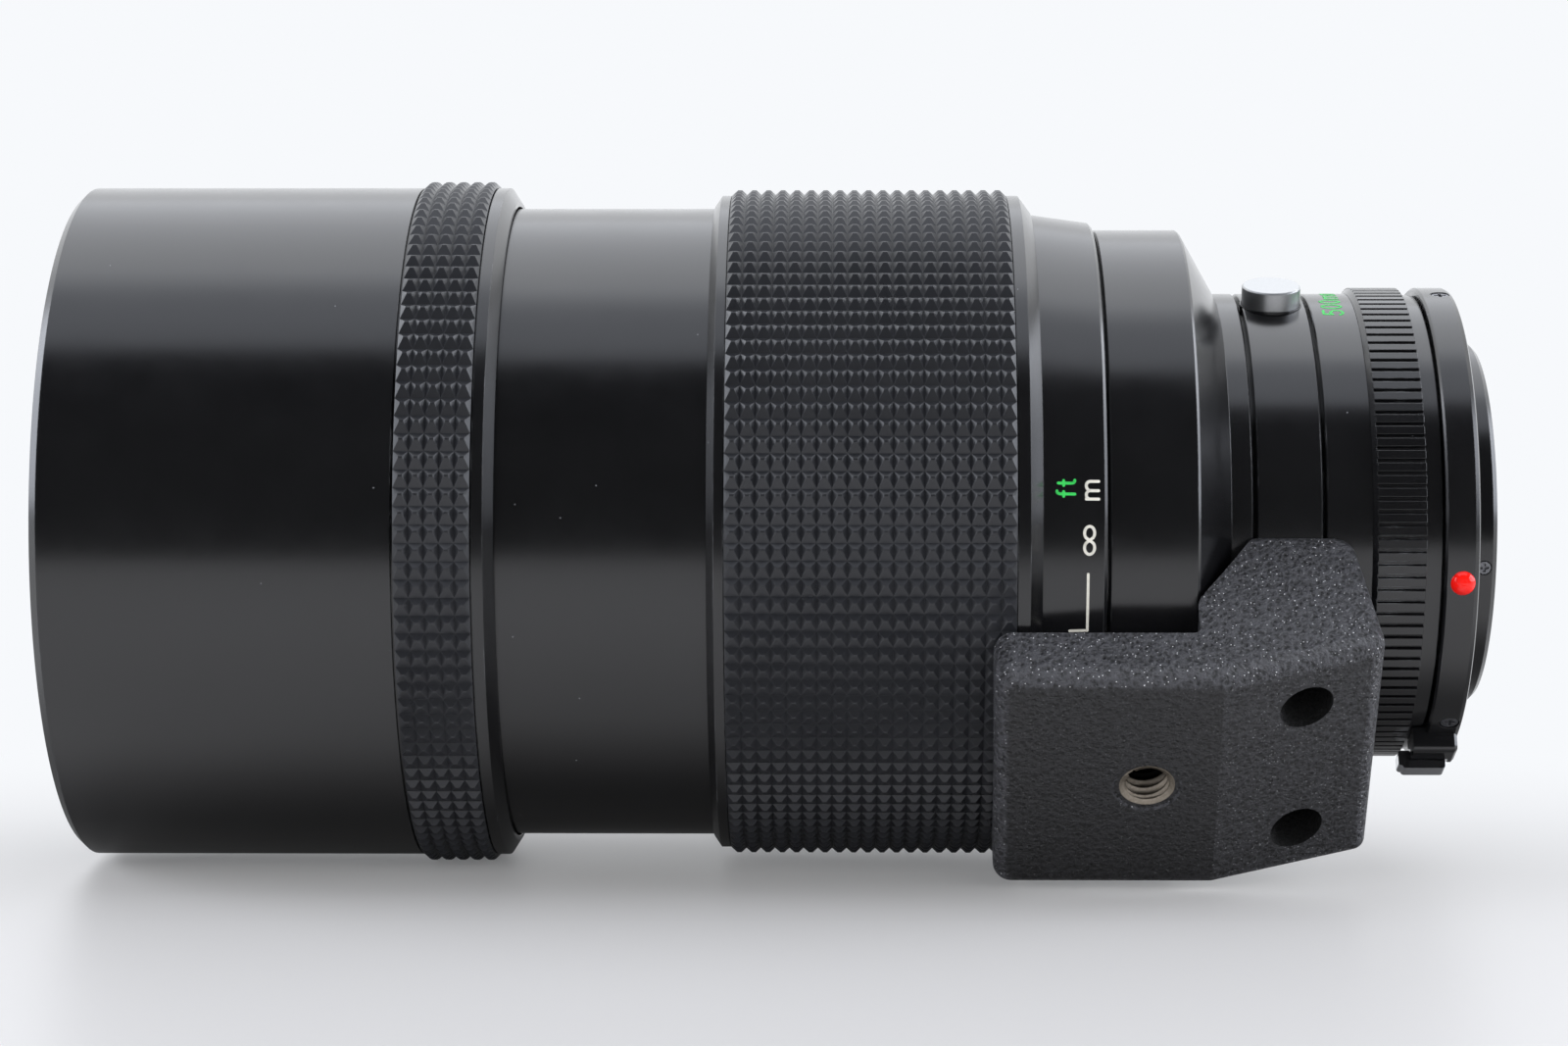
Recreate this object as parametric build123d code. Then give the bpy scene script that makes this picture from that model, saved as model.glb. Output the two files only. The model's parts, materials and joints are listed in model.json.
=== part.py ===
"""Mirror telephoto lens with a screw-on hood, a turning tripod collar and a rear bayonet.

Frame: X runs along the optical axis towards the camera body, -Y faces the photographer and +Z is up
as the lens lies on a table. The origin is on the axis, in the plane of the skirt's rear face.
Lengths are millimetres. Profiles are (x, radius) points turned about the X axis.
"""

from build123d import *
from math import copysign, cos, pi, radians, sin, sqrt
import os

os.makedirs("parts", exist_ok=True)

# Stations along the optical axis, from the front to the back
HOOD_FRONT = -183.5
BARREL_FRONT = -146.0
HOOD_GRIP_FRONT = -137.8
HOOD_GRIP_BACK = -128.2
HOOD_LAND_BACK = -126.6
HOOD_BACK = -125.4
FOCUS_FRONT = -98.8
FOCUS_GRIP_FRONT = -96.5
FOCUS_GRIP_BACK = -59.8
FOCUS_LAND_BACK = -58.1
FOCUS_BACK = -56.5
SCALE_BACK = -48.3
FIXED_FRONT = -48.0
FIXED_BACK = -36.5
CONE_BACK = -31.8
NECK_BACK = -29.0
COLLAR_FRONT = -28.5
COLLAR_BACK = -20.1
NUMBERS_FRONT = -19.6
NUMBERS_BACK = -13.7
RIBS_FRONT = -13.1
RIBS_BACK = -6.9
GRIP_BACK = -4.8
SKIRT_FRONT = -4.5
THROAT_BACK = 3.4
THROAT_WALL_FRONT = -2.8
PLATE_FRONT = -3.8
PLATE_BACK = -3.0

# Outside radii
HOOD_R = 45.3
HOOD_GRIP_PEAK_R = 46.1
HOOD_GRIP_VALLEY_R = 45.4
BARREL_R = 42.5
FOCUS_LAND_R = 44.26
FOCUS_GRIP_PEAK_R = 45.0
FOCUS_GRIP_VALLEY_R = 44.3
SCALE_FRONT_R = 41.7
SCALE_BACK_R = 40.6
FIXED_R = 39.6
NECK_R = 31.0
RIBS_R = 31.8
GRIP_NECK_R = 30.75
SKIRT_R = 31.8
THROAT_R = 24.3

# Radii of the running surfaces and of the walls inside
RUNNING_GAP = 0.05
HOOD_BORE_R = 43.9
BARREL_BORE_R = 41.0
MAIN_TUBE_R = 38.0
MAIN_TUBE_BORE_R = 36.2
JOURNAL_R = 28.5
REAR_BORE_R = 25.5
SPIGOT_R = 27.5
THROAT_BORE_R = 20.6
THROAT_RELIEF_R = 23.7
PLATE_R = 29.2
FILTER_THREAD_R = 17.0

# Grip patterns, as ridges around the ring
FOCUS_GRIP_RIDGES = 19
HOOD_GRIP_RIDGES = 5
GRIP_RIBS = 120

# Directions around the axis, in degrees below -Y (the photographer's side)
FOOT_BELOW = 39.0
BUTTON_BELOW = -73.5
BEAD_BELOW = 10.3
RELEASE_BELOW = 62.0
SKIRT_SCREWS_BELOW = (-77.0, 52.4, 165.9)
THROAT_SCREWS_BELOW = (10.2, 130.2, 250.2)

# Tripod foot: n is the distance from the optical axis, measured square to the base face.
# The casting is a little askew: each end leans by FOOT_SKEW along the axis per mm across.
FOOT_SKEW = 0.022
FOOT_BASE_N = 49.25
FOOT_FRONT = -62.4
FOOT_BEND = -34.0
FOOT_BACK = -13.2
FOOT_BACK_N = 43.0
FOOT_LIP_N = 23.6
FOOT_HALF_WIDTH = 19.2
FOOT_HALF_WIDTH_LIP = 20.1
FOOT_ARCH_R = 45.6
FOOT_GAP = 0.35
FOOT_EDGE = 2.4
FOOT_BACK_EDGE = 1.6
FOOT_ARM_FRONT = -36.9
BUSH_X = -43.0
BUSH_R = 3.55
BUSH_BORE_R = 2.6
BUSH_BOTTOM_N = 41.4
BUSH_TOP_N = 49.05
BOSS_R = 5.5
FOOT_SCREW_X = -23.2
FOOT_SCREW_T = 11.15
FOOT_SCREW_HEAD_R = 2.75
FOOT_SCREW_R = 1.5
FOOT_COUNTERBORE_R = 3.4
FOOT_SCREW_SEAT_N = 34.2

# Collar button
BUTTON_X = (COLLAR_FRONT + COLLAR_BACK) / 2 - 0.3
BUTTON_R = 3.88
BUTTON_TOP = 33.6
BUTTON_BOTTOM = 30.9
BUTTON_CHAMFER = 0.2
BUTTON_POCKET_FLOOR = 29.6
SLEEVE_R = 4.1
SLEEVE_BORE_R = 3.96
SLEEVE_TOP = 31.05
STEM_R = 1.2
STEM_TIP = 27.7
JOURNAL_GROOVE_R = 26.4

# Optics: spherical faces by their radius of curvature, bulging forwards when positive
CORRECTOR_R = 37.9
CORRECTOR_FRONT = -143.0
CORRECTOR_BACK = -133.4
CORRECTOR_FRONT_CURVE = 230.0
CORRECTOR_BACK_CURVE = 300.0
PRIMARY_R = 35.0
PRIMARY_HOLE_R = 12.0
PRIMARY_FRONT = -57.5
PRIMARY_BACK = -51.0
PRIMARY_CURVE = -250.0
SECONDARY_R = 15.0

# Number of copies and small hardware
BAYONET_LUGS = 3
SKIRT_SCREW_X = -1.8
SMALL_HEAD_R = 1.15
THROAT_HEAD_R = 0.85


def turned(*points):
    """Ring or disc turned about the optical axis from (x, radius) points."""
    profile = make_face(Polyline(*points, close=True))
    return revolve(profile, Axis.X, 360)


def tube(front, back, inner_radius, outer_radius):
    """Plain tube along the optical axis."""
    return turned(
        (front, inner_radius), (back, inner_radius), (back, outer_radius), (front, outer_radius)
    )


def face_x(vertex, curve, radius):
    """Where a spherical glass face with this vertex stands at a given radius."""
    if curve == 0:
        return vertex
    return vertex + curve - copysign(sqrt(curve**2 - radius**2), curve)


def glass_disc(front, back, rim, front_curve, back_curve, bore=0.0):
    """Lens element or mirror with spherical or flat faces, and a hole if bore is given."""
    stations = (bore, (bore + rim) / 2, rim)
    front_points = [(face_x(front, front_curve, r), r) for r in stations]
    back_points = [(face_x(back, back_curve, r), r) for r in stations]
    edges = [Line(front_points[2], back_points[2]), Line(back_points[0], front_points[0])]
    for points, curve in ((front_points, front_curve), (back_points, back_curve)):
        edges.append(ThreePointArc(*points) if curve else Line(points[0], points[2]))
    return revolve(make_face(edges), Axis.X, 360)


def facing(below, shape):
    """Turn a shape built along +Z so that it points out at an angle below -Y."""
    return Rot(90 + below, 0, 0) * shape


def post(x, radius, low, high, t=0.0):
    """Cylinder that stands out along +Z at station x and sideways offset t."""
    align = (Align.CENTER, Align.CENTER, Align.MIN)
    return Pos(x, t, low) * Cylinder(radius, high - low, align=align)


def slab(x_range, t_range, r_range):
    """Box between two values along the axis, across it and out from it."""
    size = [high - low for low, high in (x_range, t_range, r_range)]
    middle = [(high + low) / 2 for low, high in (x_range, t_range, r_range)]
    return Pos(*middle) * Box(*size)


def ridges(front, back, count, valley, peak):
    """Outline points of equal V ridges between two stations."""
    pitch = (back - front) / count
    points = [(front, valley)]
    for index in range(count):
        points.append((front + (index + 0.5) * pitch, peak))
        points.append((front + (index + 1) * pitch, valley))
    return points


def cross_recess(depth, size):
    """Cross-shaped driver recess that is cut down from z = 0."""
    wide = Box(size, size / 3.5, depth * 2)
    tall = Box(size / 3.5, size, depth * 2)
    return wide + tall


def small_screw(x, surface, head_radius, length):
    """Countersunk-looking screw whose head lies just under the surface."""
    head_top = surface - 0.15
    body = post(x, head_radius, head_top - 0.7, head_top)
    body += post(x, head_radius * 0.5, head_top - length, head_top - 0.7)
    return body - Pos(x, 0, head_top) * cross_recess(0.35, head_radius * 1.35)


def save(name, shape):
    """Write one named piece."""
    export_step(shape, f"parts/{name}.step")


def hood_tube():
    """Metal hood with a chamfered rim, a seat for the grip and an in-turned rear edge."""
    seat = HOOD_GRIP_VALLEY_R - 0.75
    return turned(
        (HOOD_FRONT, HOOD_BORE_R),
        (HOOD_FRONT, HOOD_R - 0.95),
        (HOOD_FRONT + 1.0, HOOD_R),
        (HOOD_GRIP_FRONT - 0.35, HOOD_R),
        (HOOD_GRIP_FRONT - 0.35, seat),
        (HOOD_GRIP_BACK + 0.15, seat),
        (HOOD_GRIP_BACK + 0.15, HOOD_R),
        (HOOD_LAND_BACK, HOOD_R),
        (HOOD_BACK, BARREL_R + 0.9),
        (HOOD_BACK, BARREL_R + 0.3),
        (HOOD_LAND_BACK - 1.2, BARREL_R + 0.3),
        (HOOD_LAND_BACK - 1.2, HOOD_BORE_R),
    )


def hood_grip():
    """Rubber band around the hood, with a row of ridges."""
    seat = HOOD_GRIP_VALLEY_R - 0.75
    outline = ridges(
        HOOD_GRIP_FRONT, HOOD_GRIP_BACK, HOOD_GRIP_RIDGES, HOOD_GRIP_VALLEY_R, HOOD_GRIP_PEAK_R
    )
    return turned((HOOD_GRIP_FRONT, seat), *outline, (HOOD_GRIP_BACK, seat))


def hood_lining():
    """Flock lining of the hood, ahead of the barrel."""
    return tube(HOOD_FRONT + 2.5, BARREL_FRONT - 2.0, HOOD_BORE_R - 0.5, HOOD_BORE_R)


def hood_thread_ring():
    """Ring inside the hood's back that screws on the front of the barrel."""
    return tube(-138.5, HOOD_LAND_BACK - 1.2, BARREL_R + RUNNING_GAP, HOOD_BORE_R)


def front_barrel():
    """Outer tube that carries the front lens group and slides in the focus ring."""
    return turned(
        (BARREL_FRONT, BARREL_BORE_R),
        (BARREL_FRONT, BARREL_R - 0.4),
        (BARREL_FRONT + 0.4, BARREL_R),
        (-66.0, BARREL_R),
        (-66.0, BARREL_BORE_R),
    )


def front_cell():
    """Seat of the front corrector lens, with a shoulder behind the glass."""
    return turned(
        (-144.1, CORRECTOR_R),
        (-130.9, CORRECTOR_R),
        (-130.9, 36.5),
        (-128.5, 36.5),
        (-127.0, 38.0),
        (-127.0, BARREL_BORE_R),
        (-144.1, BARREL_BORE_R),
    )


def front_corrector_lens():
    """Thick meniscus that closes the front of the barrel."""
    return glass_disc(
        CORRECTOR_FRONT,
        CORRECTOR_BACK,
        CORRECTOR_R,
        CORRECTOR_FRONT_CURVE,
        CORRECTOR_BACK_CURVE,
    )


def front_retaining_ring():
    """Dished ring that holds the corrector and fills the front of the barrel."""
    return turned(
        (-145.6, BARREL_BORE_R),
        (-144.1, BARREL_BORE_R),
        (-144.1, CORRECTOR_R),
        (-140.3, CORRECTOR_R),
        (-140.3, 36.6),
        (-141.0, 36.6),
        (-145.0, 39.6),
        (-145.6, 39.9),
    )


def secondary_cap(corrector):
    """Black cap on the front of the corrector that hides the secondary mirror."""
    cap = turned(
        (-145.2, 0.0), (-145.2, 14.8), (-144.6, 16.2), (-144.0, 16.5), (-141.5, 16.5), (-141.5, 0.0)
    )
    return cap - corrector


def secondary_mirror(corrector):
    """Small mirror on the back of the corrector, facing the primary mirror."""
    mirror = glass_disc(-134.5, -128.4, SECONDARY_R, 0, -160.0)
    return mirror - corrector


def secondary_baffle(corrector):
    """Short flared tube around the secondary mirror."""
    baffle = turned(
        (-134.5, SECONDARY_R + 0.05),
        (-125.0, SECONDARY_R + 0.05),
        (-117.0, 18.0),
        (-117.0, 18.8),
        (-126.0, 17.0),
        (-134.5, 17.0),
    )
    return baffle - corrector


def helicoid_ring():
    """Ring inside the back of the front barrel: it runs on the main tube, guided by two keys."""
    ring = tube(-78.0, -66.0, MAIN_TUBE_R + RUNNING_GAP, BARREL_BORE_R)
    for turn in (0, 180):
        ring -= facing(turn, slab((-80, -64), (-2.3, 2.3), (30.0, 40.7)))
    return ring


def focus_sleeve():
    """Metal body of the focus ring, with the seat of its rubber grip."""
    seat = FOCUS_GRIP_VALLEY_R - 0.8
    spigot = 41.95
    return turned(
        (FOCUS_FRONT, BARREL_R + RUNNING_GAP),
        (FOCUS_FRONT, BARREL_R + 0.35),
        (FOCUS_FRONT + 0.95, FOCUS_LAND_R),
        (FOCUS_GRIP_FRONT - 0.1, FOCUS_LAND_R),
        (FOCUS_GRIP_FRONT - 0.1, seat),
        (FOCUS_GRIP_BACK + 0.1, seat),
        (FOCUS_GRIP_BACK + 0.1, FOCUS_LAND_R),
        (FOCUS_LAND_BACK, FOCUS_LAND_R),
        (FOCUS_BACK, spigot + 0.15),
        (FOCUS_BACK, spigot),
        (-60.2, spigot),
        (-60.2, MAIN_TUBE_R + RUNNING_GAP),
        (-62.2, MAIN_TUBE_R + RUNNING_GAP),
        (-62.2, BARREL_R + RUNNING_GAP),
    )


def focus_grip():
    """Rubber grip of the focus ring, with rows of ridges."""
    seat = FOCUS_GRIP_VALLEY_R - 0.8
    outline = ridges(
        FOCUS_GRIP_FRONT,
        FOCUS_GRIP_BACK,
        FOCUS_GRIP_RIDGES,
        FOCUS_GRIP_VALLEY_R,
        FOCUS_GRIP_PEAK_R,
    )
    return turned((FOCUS_GRIP_FRONT, seat), *outline, (FOCUS_GRIP_BACK, seat))


def scale_ring():
    """Tapered ring that carries the distance scale."""
    bore = MAIN_TUBE_R + 0.4
    return turned(
        (-60.1, bore),
        (-60.1, 41.9),
        (FOCUS_BACK, 41.9),
        (FOCUS_BACK, SCALE_FRONT_R),
        (SCALE_BACK - 0.4, SCALE_BACK_R),
        (SCALE_BACK, SCALE_BACK_R - 0.4),
        (SCALE_BACK, bore),
    )


def focus_stop_ring():
    """Ring on the main tube that keeps the focus sleeve in place."""
    return tube(-64.4, -62.3, MAIN_TUBE_R, BARREL_BORE_R + 0.6)


def guide_keys():
    """Two keys on the main tube that stop the front barrel from turning."""
    keys = []
    for turn in (0, 180):
        bar = slab((-91.0, -64.8), (-2.0, 2.0), (MAIN_TUBE_R - 2.0, 40.4))
        keys.append(facing(turn, bar) - tube(-92.0, -64.0, 20.0, MAIN_TUBE_R))
    return Compound(children=keys)


def main_barrel():
    """Fixed barrel: inner tube, fixed ring, cone, neck and the journal of the collar."""
    return turned(
        (-100.0, MAIN_TUBE_BORE_R),
        (-100.0, MAIN_TUBE_R),
        (FIXED_FRONT, MAIN_TUBE_R),
        (FIXED_FRONT, FIXED_R - 0.3),
        (FIXED_FRONT + 0.3, FIXED_R),
        (FIXED_BACK - 0.35, FIXED_R),
        (FIXED_BACK, FIXED_R - 0.3),
        (CONE_BACK, NECK_R),
        (NECK_BACK - 0.2, NECK_R),
        (NECK_BACK, NECK_R - 0.2),
        (NECK_BACK, JOURNAL_R),
        (BUTTON_X - 2.2, JOURNAL_R),
        (BUTTON_X - 2.2, JOURNAL_GROOVE_R),
        (BUTTON_X + 2.2, JOURNAL_GROOVE_R),
        (BUTTON_X + 2.2, JOURNAL_R),
        (NUMBERS_FRONT, JOURNAL_R),
        (NUMBERS_FRONT, SPIGOT_R),
        (SKIRT_FRONT, SPIGOT_R),
        (SKIRT_FRONT, REAR_BORE_R),
        (CONE_BACK + 0.6, REAR_BORE_R),
        (-40.5, MAIN_TUBE_BORE_R),
    )


def primary_mirror():
    """Main mirror, dished at the front, with a hole in the middle."""
    return glass_disc(
        PRIMARY_FRONT, PRIMARY_BACK, PRIMARY_R, PRIMARY_CURVE, 0, bore=PRIMARY_HOLE_R
    )


def mirror_cell():
    """Dish behind the primary mirror, fixed in the main barrel."""
    return turned(
        (-61.0, PRIMARY_R + 0.1),
        (-51.0, PRIMARY_R + 0.1),
        (-51.0, PRIMARY_HOLE_R - 0.3),
        (-47.9, PRIMARY_HOLE_R - 0.3),
        (-47.9, MAIN_TUBE_BORE_R),
        (-61.0, MAIN_TUBE_BORE_R),
    )


def mirror_retaining_ring():
    """Threaded ring that holds the primary mirror in its cell."""
    return tube(-64.0, -61.0, PRIMARY_R - 1.6, MAIN_TUBE_BORE_R)


def central_baffle():
    """Long tapered tube through the hole of the primary mirror."""
    wall = 0.8
    return turned(
        (-98.0, 9.0 - wall),
        (-98.0, 9.0),
        (-66.0, PRIMARY_HOLE_R - 0.5),
        (-51.0, PRIMARY_HOLE_R - 0.5),
        (-51.0, PRIMARY_HOLE_R - 0.3),
        (-47.9, PRIMARY_HOLE_R - 0.3),
        (-47.9, PRIMARY_HOLE_R - 0.5 - wall),
        (-66.0, PRIMARY_HOLE_R - 0.5 - wall),
    )


def rear_lens_cell():
    """Barrel of the rear lens groups, with a flange that sits in the neck."""
    return turned(
        (-44.0, 13.0),
        (-44.0, 15.5),
        (-29.5, 15.5),
        (-29.5, REAR_BORE_R),
        (-26.5, REAR_BORE_R),
        (-26.5, 18.4),
        (-11.5, 18.4),
        (-11.5, FILTER_THREAD_R + RUNNING_GAP),
        (-14.6, FILTER_THREAD_R + RUNNING_GAP),
        (-14.6, 14.2),
        (-24.5, 14.2),
        (-24.5, 11.8),
        (-36.0, 11.8),
        (-36.0, 13.0),
    )


def rear_lens_front():
    """Front group of the rear lenses."""
    return glass_disc(-41.8, -36.0, 12.9, 60.0, 0)


def rear_lens_back():
    """Back group of the rear lenses."""
    return glass_disc(-24.5, -19.5, 14.1, 0, -70.0)


def rear_lens_retainer():
    """Ring that holds the back lens group."""
    return tube(-18.0, -16.5, 12.2, 14.2)


def collar_ring():
    """Ring that turns on the journal, pierced for the button and the foot screws."""
    bore = JOURNAL_R + RUNNING_GAP
    ring = turned(
        (COLLAR_FRONT, bore),
        (COLLAR_FRONT, NECK_R - 0.15),
        (COLLAR_FRONT + 0.15, NECK_R),
        (COLLAR_BACK - 0.15, NECK_R),
        (COLLAR_BACK, NECK_R - 0.15),
        (COLLAR_BACK, bore),
    )
    ring -= facing(BUTTON_BELOW, post(BUTTON_X, SLEEVE_R, BUTTON_POCKET_FLOOR, 33.0))
    ring -= facing(BUTTON_BELOW, post(BUTTON_X, STEM_R + 0.08, 25.0, 33.0))
    for x, t in foot_screw_places():
        ring -= facing(FOOT_BELOW, post(x, FOOT_SCREW_R, 20.0, 40.0, t))
    return ring


def button_sleeve():
    """Short black sleeve around the collar button."""
    sleeve = post(BUTTON_X, SLEEVE_R, BUTTON_POCKET_FLOOR, SLEEVE_TOP)
    sleeve -= post(BUTTON_X, SLEEVE_BORE_R, BUTTON_POCKET_FLOOR - 1, 32.0)
    return facing(BUTTON_BELOW, sleeve)


def collar_button():
    """Silver button of the collar: a chamfered disc on a stem."""
    disc = post(BUTTON_X, BUTTON_R, BUTTON_BOTTOM, BUTTON_TOP)
    disc = chamfer(disc.edges().group_by(Axis.Z)[-1], BUTTON_CHAMFER)
    stem = post(BUTTON_X, STEM_R, STEM_TIP, BUTTON_BOTTOM)
    return facing(BUTTON_BELOW, disc + stem)


def button_spring():
    """Wave spring under the collar button."""
    spring = post(BUTTON_X, 3.4, BUTTON_POCKET_FLOOR, BUTTON_BOTTOM)
    spring -= post(BUTTON_X, 1.9, BUTTON_POCKET_FLOOR - 1, BUTTON_BOTTOM + 1)
    return facing(BUTTON_BELOW, spring)


def foot_screw_places():
    """Station and sideways offset of the two foot screws."""
    return [
        (FOOT_SCREW_X - FOOT_SKEW * side * FOOT_SCREW_T, side * FOOT_SCREW_T) for side in (-1, 1)
    ]


def foot_envelope():
    """Space that the foot keeps clear of the barrel, and its seat on the collar ring."""
    gap = FOOT_GAP
    relief = NECK_R + 0.35
    return turned(
        (-70.0, 0.0),
        (-70.0, FOCUS_GRIP_PEAK_R + gap),
        (FOCUS_BACK, FOCUS_GRIP_PEAK_R + gap),
        (FOCUS_BACK, SCALE_FRONT_R + gap),
        (SCALE_BACK + gap, SCALE_BACK_R + gap),
        (SCALE_BACK + gap, FIXED_R + gap),
        (FIXED_BACK + gap, FIXED_R + gap),
        (CONE_BACK + gap, relief),
        (COLLAR_FRONT, relief),
        (COLLAR_FRONT, NECK_R),
        (COLLAR_BACK, NECK_R),
        (COLLAR_BACK, relief),
        (-5.0, relief),
        (-5.0, 0.0),
    )


def foot_arch():
    """Hollow under the cantilever and in front of the arms, which slope away from the cone."""
    corner = 0.8
    foot_of_arm = FOOT_ARM_FRONT - corner
    root = FOOT_ARCH_R - corner
    slant = corner * sqrt(0.5)
    edges = [
        Polyline(
            (FOOT_ARM_FRONT, root),
            (FOOT_ARM_FRONT, 41.77),
        ),
        ThreePointArc((FOOT_ARM_FRONT, 41.77), (-36.72, 40.74), (-36.19, 39.83)),
        Line((-36.19, 39.83), (-29.8, 32.27)),
        ThreePointArc((-29.8, 32.27), (-28.95, 31.45), (-27.6, 30.9)),
        Polyline(
            (-27.6, 30.9), (-27.6, 0), (-70, 0), (-70, FOOT_ARCH_R), (foot_of_arm, FOOT_ARCH_R)
        ),
        ThreePointArc(
            (foot_of_arm, FOOT_ARCH_R), (foot_of_arm + slant, root + slant), (FOOT_ARM_FRONT, root)
        ),
    ]
    return revolve(make_face(edges), Axis.X, 360)


def foot_block():
    """Outer form of the foot: side view and end view crossed, with rounded edges."""
    side = make_face(
        [
            Polyline(
                (-15.63, 26.17),
                (FOOT_BACK, FOOT_BACK_N),
                (FOOT_BEND, FOOT_BASE_N),
                (FOOT_FRONT, FOOT_BASE_N),
                (FOOT_FRONT, FOOT_LIP_N),
                (-18.6, FOOT_LIP_N),
            ),
            ThreePointArc((-18.6, FOOT_LIP_N), (-16.64, 24.33), (-15.63, 26.17)),
        ]
    )
    end = make_face(
        Polyline(
            (-FOOT_HALF_WIDTH, FOOT_BASE_N + 1),
            (FOOT_HALF_WIDTH, FOOT_BASE_N + 1),
            (FOOT_HALF_WIDTH_LIP, FOOT_LIP_N - 1),
            (-FOOT_HALF_WIDTH_LIP, FOOT_LIP_N - 1),
            close=True,
        )
    )
    across = (FOOT_SKEW, -1, 0)
    side_block = extrude(Plane.XZ * side, 30, dir=across, both=True)
    end_block = extrude(Plane.YZ * end, 80, both=True)
    block = side_block & end_block
    ends = [
        edge
        for edge in block.edges()
        if edge.center().Z > FOOT_BACK_N - 1 or abs(edge.center().X - FOOT_FRONT) < 0.6
    ]
    bend_edge = [
        edge
        for edge in ends
        if abs(edge.center().X - FOOT_BEND) < 0.1 and abs(edge.center().Y) < 1
    ]
    low_edge = [edge for edge in ends if abs(edge.center().Z - FOOT_LIP_N) < 0.1]
    ends = [edge for edge in ends if edge not in bend_edge and edge not in low_edge]
    block = fillet(ends, FOOT_EDGE)
    upright = [
        edge
        for edge in block.edges()
        if abs(edge.center().X - FOOT_BACK) < 1.8 and 30.0 < edge.center().Z < FOOT_BACK_N - 2
        and abs(edge.center().Y) > 15
    ]
    return fillet(upright, FOOT_BACK_EDGE)


def tripod_foot():
    """Cast foot: base with a tripod bush, two screw wells and arms that hug the collar."""
    boss = post(BUSH_X, BOSS_R, 39.0, FOOT_BASE_N - 3)
    foot = foot_block() - foot_arch()
    foot += boss
    foot -= foot_envelope()
    foot -= post(BUSH_X, BUSH_R, 30.0, 60.0)
    foot -= Pos(BUSH_X, 0, FOOT_BASE_N) * Cone(BUSH_R + 0.6, BUSH_R + 1.2, 0.5)
    for x, t in foot_screw_places():
        foot -= post(x, FOOT_COUNTERBORE_R, FOOT_SCREW_SEAT_N, 60.0, t)
        foot -= post(x, FOOT_SCREW_R, 20.0, 60.0, t)
    return facing(FOOT_BELOW, foot)


def tripod_bush():
    """Steel insert with the tripod thread."""
    bush = post(BUSH_X, BUSH_R, BUSH_BOTTOM_N, BUSH_TOP_N)
    bush -= post(BUSH_X, BUSH_BORE_R, BUSH_BOTTOM_N - 1, BUSH_TOP_N + 1)
    return facing(FOOT_BELOW, bush)


def foot_screws():
    """Two socket screws that hold the foot on the collar ring."""
    screws = []
    tip = 27.3
    head = 3.0
    for x, t in foot_screw_places():
        screw = post(x, FOOT_SCREW_R, tip, FOOT_SCREW_SEAT_N, t)
        seat_top = FOOT_SCREW_SEAT_N + head
        screw += post(x, FOOT_SCREW_HEAD_R, FOOT_SCREW_SEAT_N, seat_top, t)
        socket = extrude(RegularPolygon(1.45, 6), 1.6)
        screw -= Pos(x, t, seat_top - 1.6) * socket
        screws.append(facing(FOOT_BELOW, screw))
    return Compound(children=screws)


def number_ring():
    """Smooth ring behind the collar that carries the focal length."""
    return turned(
        (NUMBERS_FRONT, SPIGOT_R),
        (NUMBERS_FRONT, NECK_R - 0.15),
        (NUMBERS_FRONT + 0.15, NECK_R),
        (NUMBERS_BACK, NECK_R),
        (NUMBERS_BACK, SPIGOT_R),
    )


def ribbed_grip_ring():
    """Ribbed ring held while the lens is put on a camera, with a plain neck behind it."""
    floor = RIBS_R - 0.55
    body = turned(
        (NUMBERS_BACK, SPIGOT_R),
        (NUMBERS_BACK, NECK_R + 0.05),
        (RIBS_FRONT, RIBS_R - 0.1),
        (RIBS_FRONT, floor),
        (RIBS_BACK, floor),
        (RIBS_BACK, GRIP_NECK_R + 0.2),
        (GRIP_BACK, GRIP_NECK_R),
        (GRIP_BACK, SPIGOT_R),
    )
    pitch = 2 * pi / GRIP_RIBS
    land = 0.72
    corners = []
    for index in range(GRIP_RIBS):
        start = index * pitch
        for angle, radius in (
            (start, floor),
            (start + pitch * 0.06, RIBS_R),
            (start + pitch * land, RIBS_R),
            (start + pitch * (land + 0.06), floor),
        ):
            corners.append((radius * cos(angle), radius * sin(angle)))
    star = make_face(Polyline(*corners, close=True)) - Circle(floor - 0.4)
    crown = Pos(RIBS_FRONT, 0, 0) * extrude(Plane.YZ * star, RIBS_BACK - RIBS_FRONT)
    return body + crown


def mount_skirt():
    """Rear skirt, with a rounded rim and wells for its screws and the index bead."""
    skirt = turned(
        (SKIRT_FRONT, THROAT_R + 0.1),
        (SKIRT_FRONT, SKIRT_R - 0.3),
        (SKIRT_FRONT + 0.3, SKIRT_R),
        (-0.7, SKIRT_R),
        (-0.2, SKIRT_R - 0.25),
        (0.0, SKIRT_R - 0.75),
        (0.0, PLATE_R),
        (PLATE_FRONT, PLATE_R),
        (PLATE_FRONT, THROAT_R + 0.1),
    )
    for below in SKIRT_SCREWS_BELOW:
        skirt -= facing(below, post(SKIRT_SCREW_X, SMALL_HEAD_R + 0.15, SKIRT_R - 0.85, 40.0))
        skirt -= facing(below, post(SKIRT_SCREW_X, SMALL_HEAD_R * 0.5, 29.45, 40.0))
    skirt -= facing(BEAD_BELOW, post(-2.2, 1.0, 30.3, 40.0))
    return skirt


def skirt_screws():
    """Three small cross-head screws around the skirt."""
    return Compound(
        children=[
            facing(below, small_screw(SKIRT_SCREW_X, SKIRT_R, SMALL_HEAD_R, 2.2))
            for below in SKIRT_SCREWS_BELOW
        ]
    )


def index_bead():
    """Red bead that is lined up with the camera's mark."""
    dome = Pos(-2.2, 0, SKIRT_R - 0.75) * Sphere(1.75)
    dome -= tube(-10.0, 5.0, 5.0, SKIRT_R)
    pin = post(-2.2, 1.0, 30.3, SKIRT_R + 0.3)
    return facing(BEAD_BELOW, dome + pin)


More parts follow.
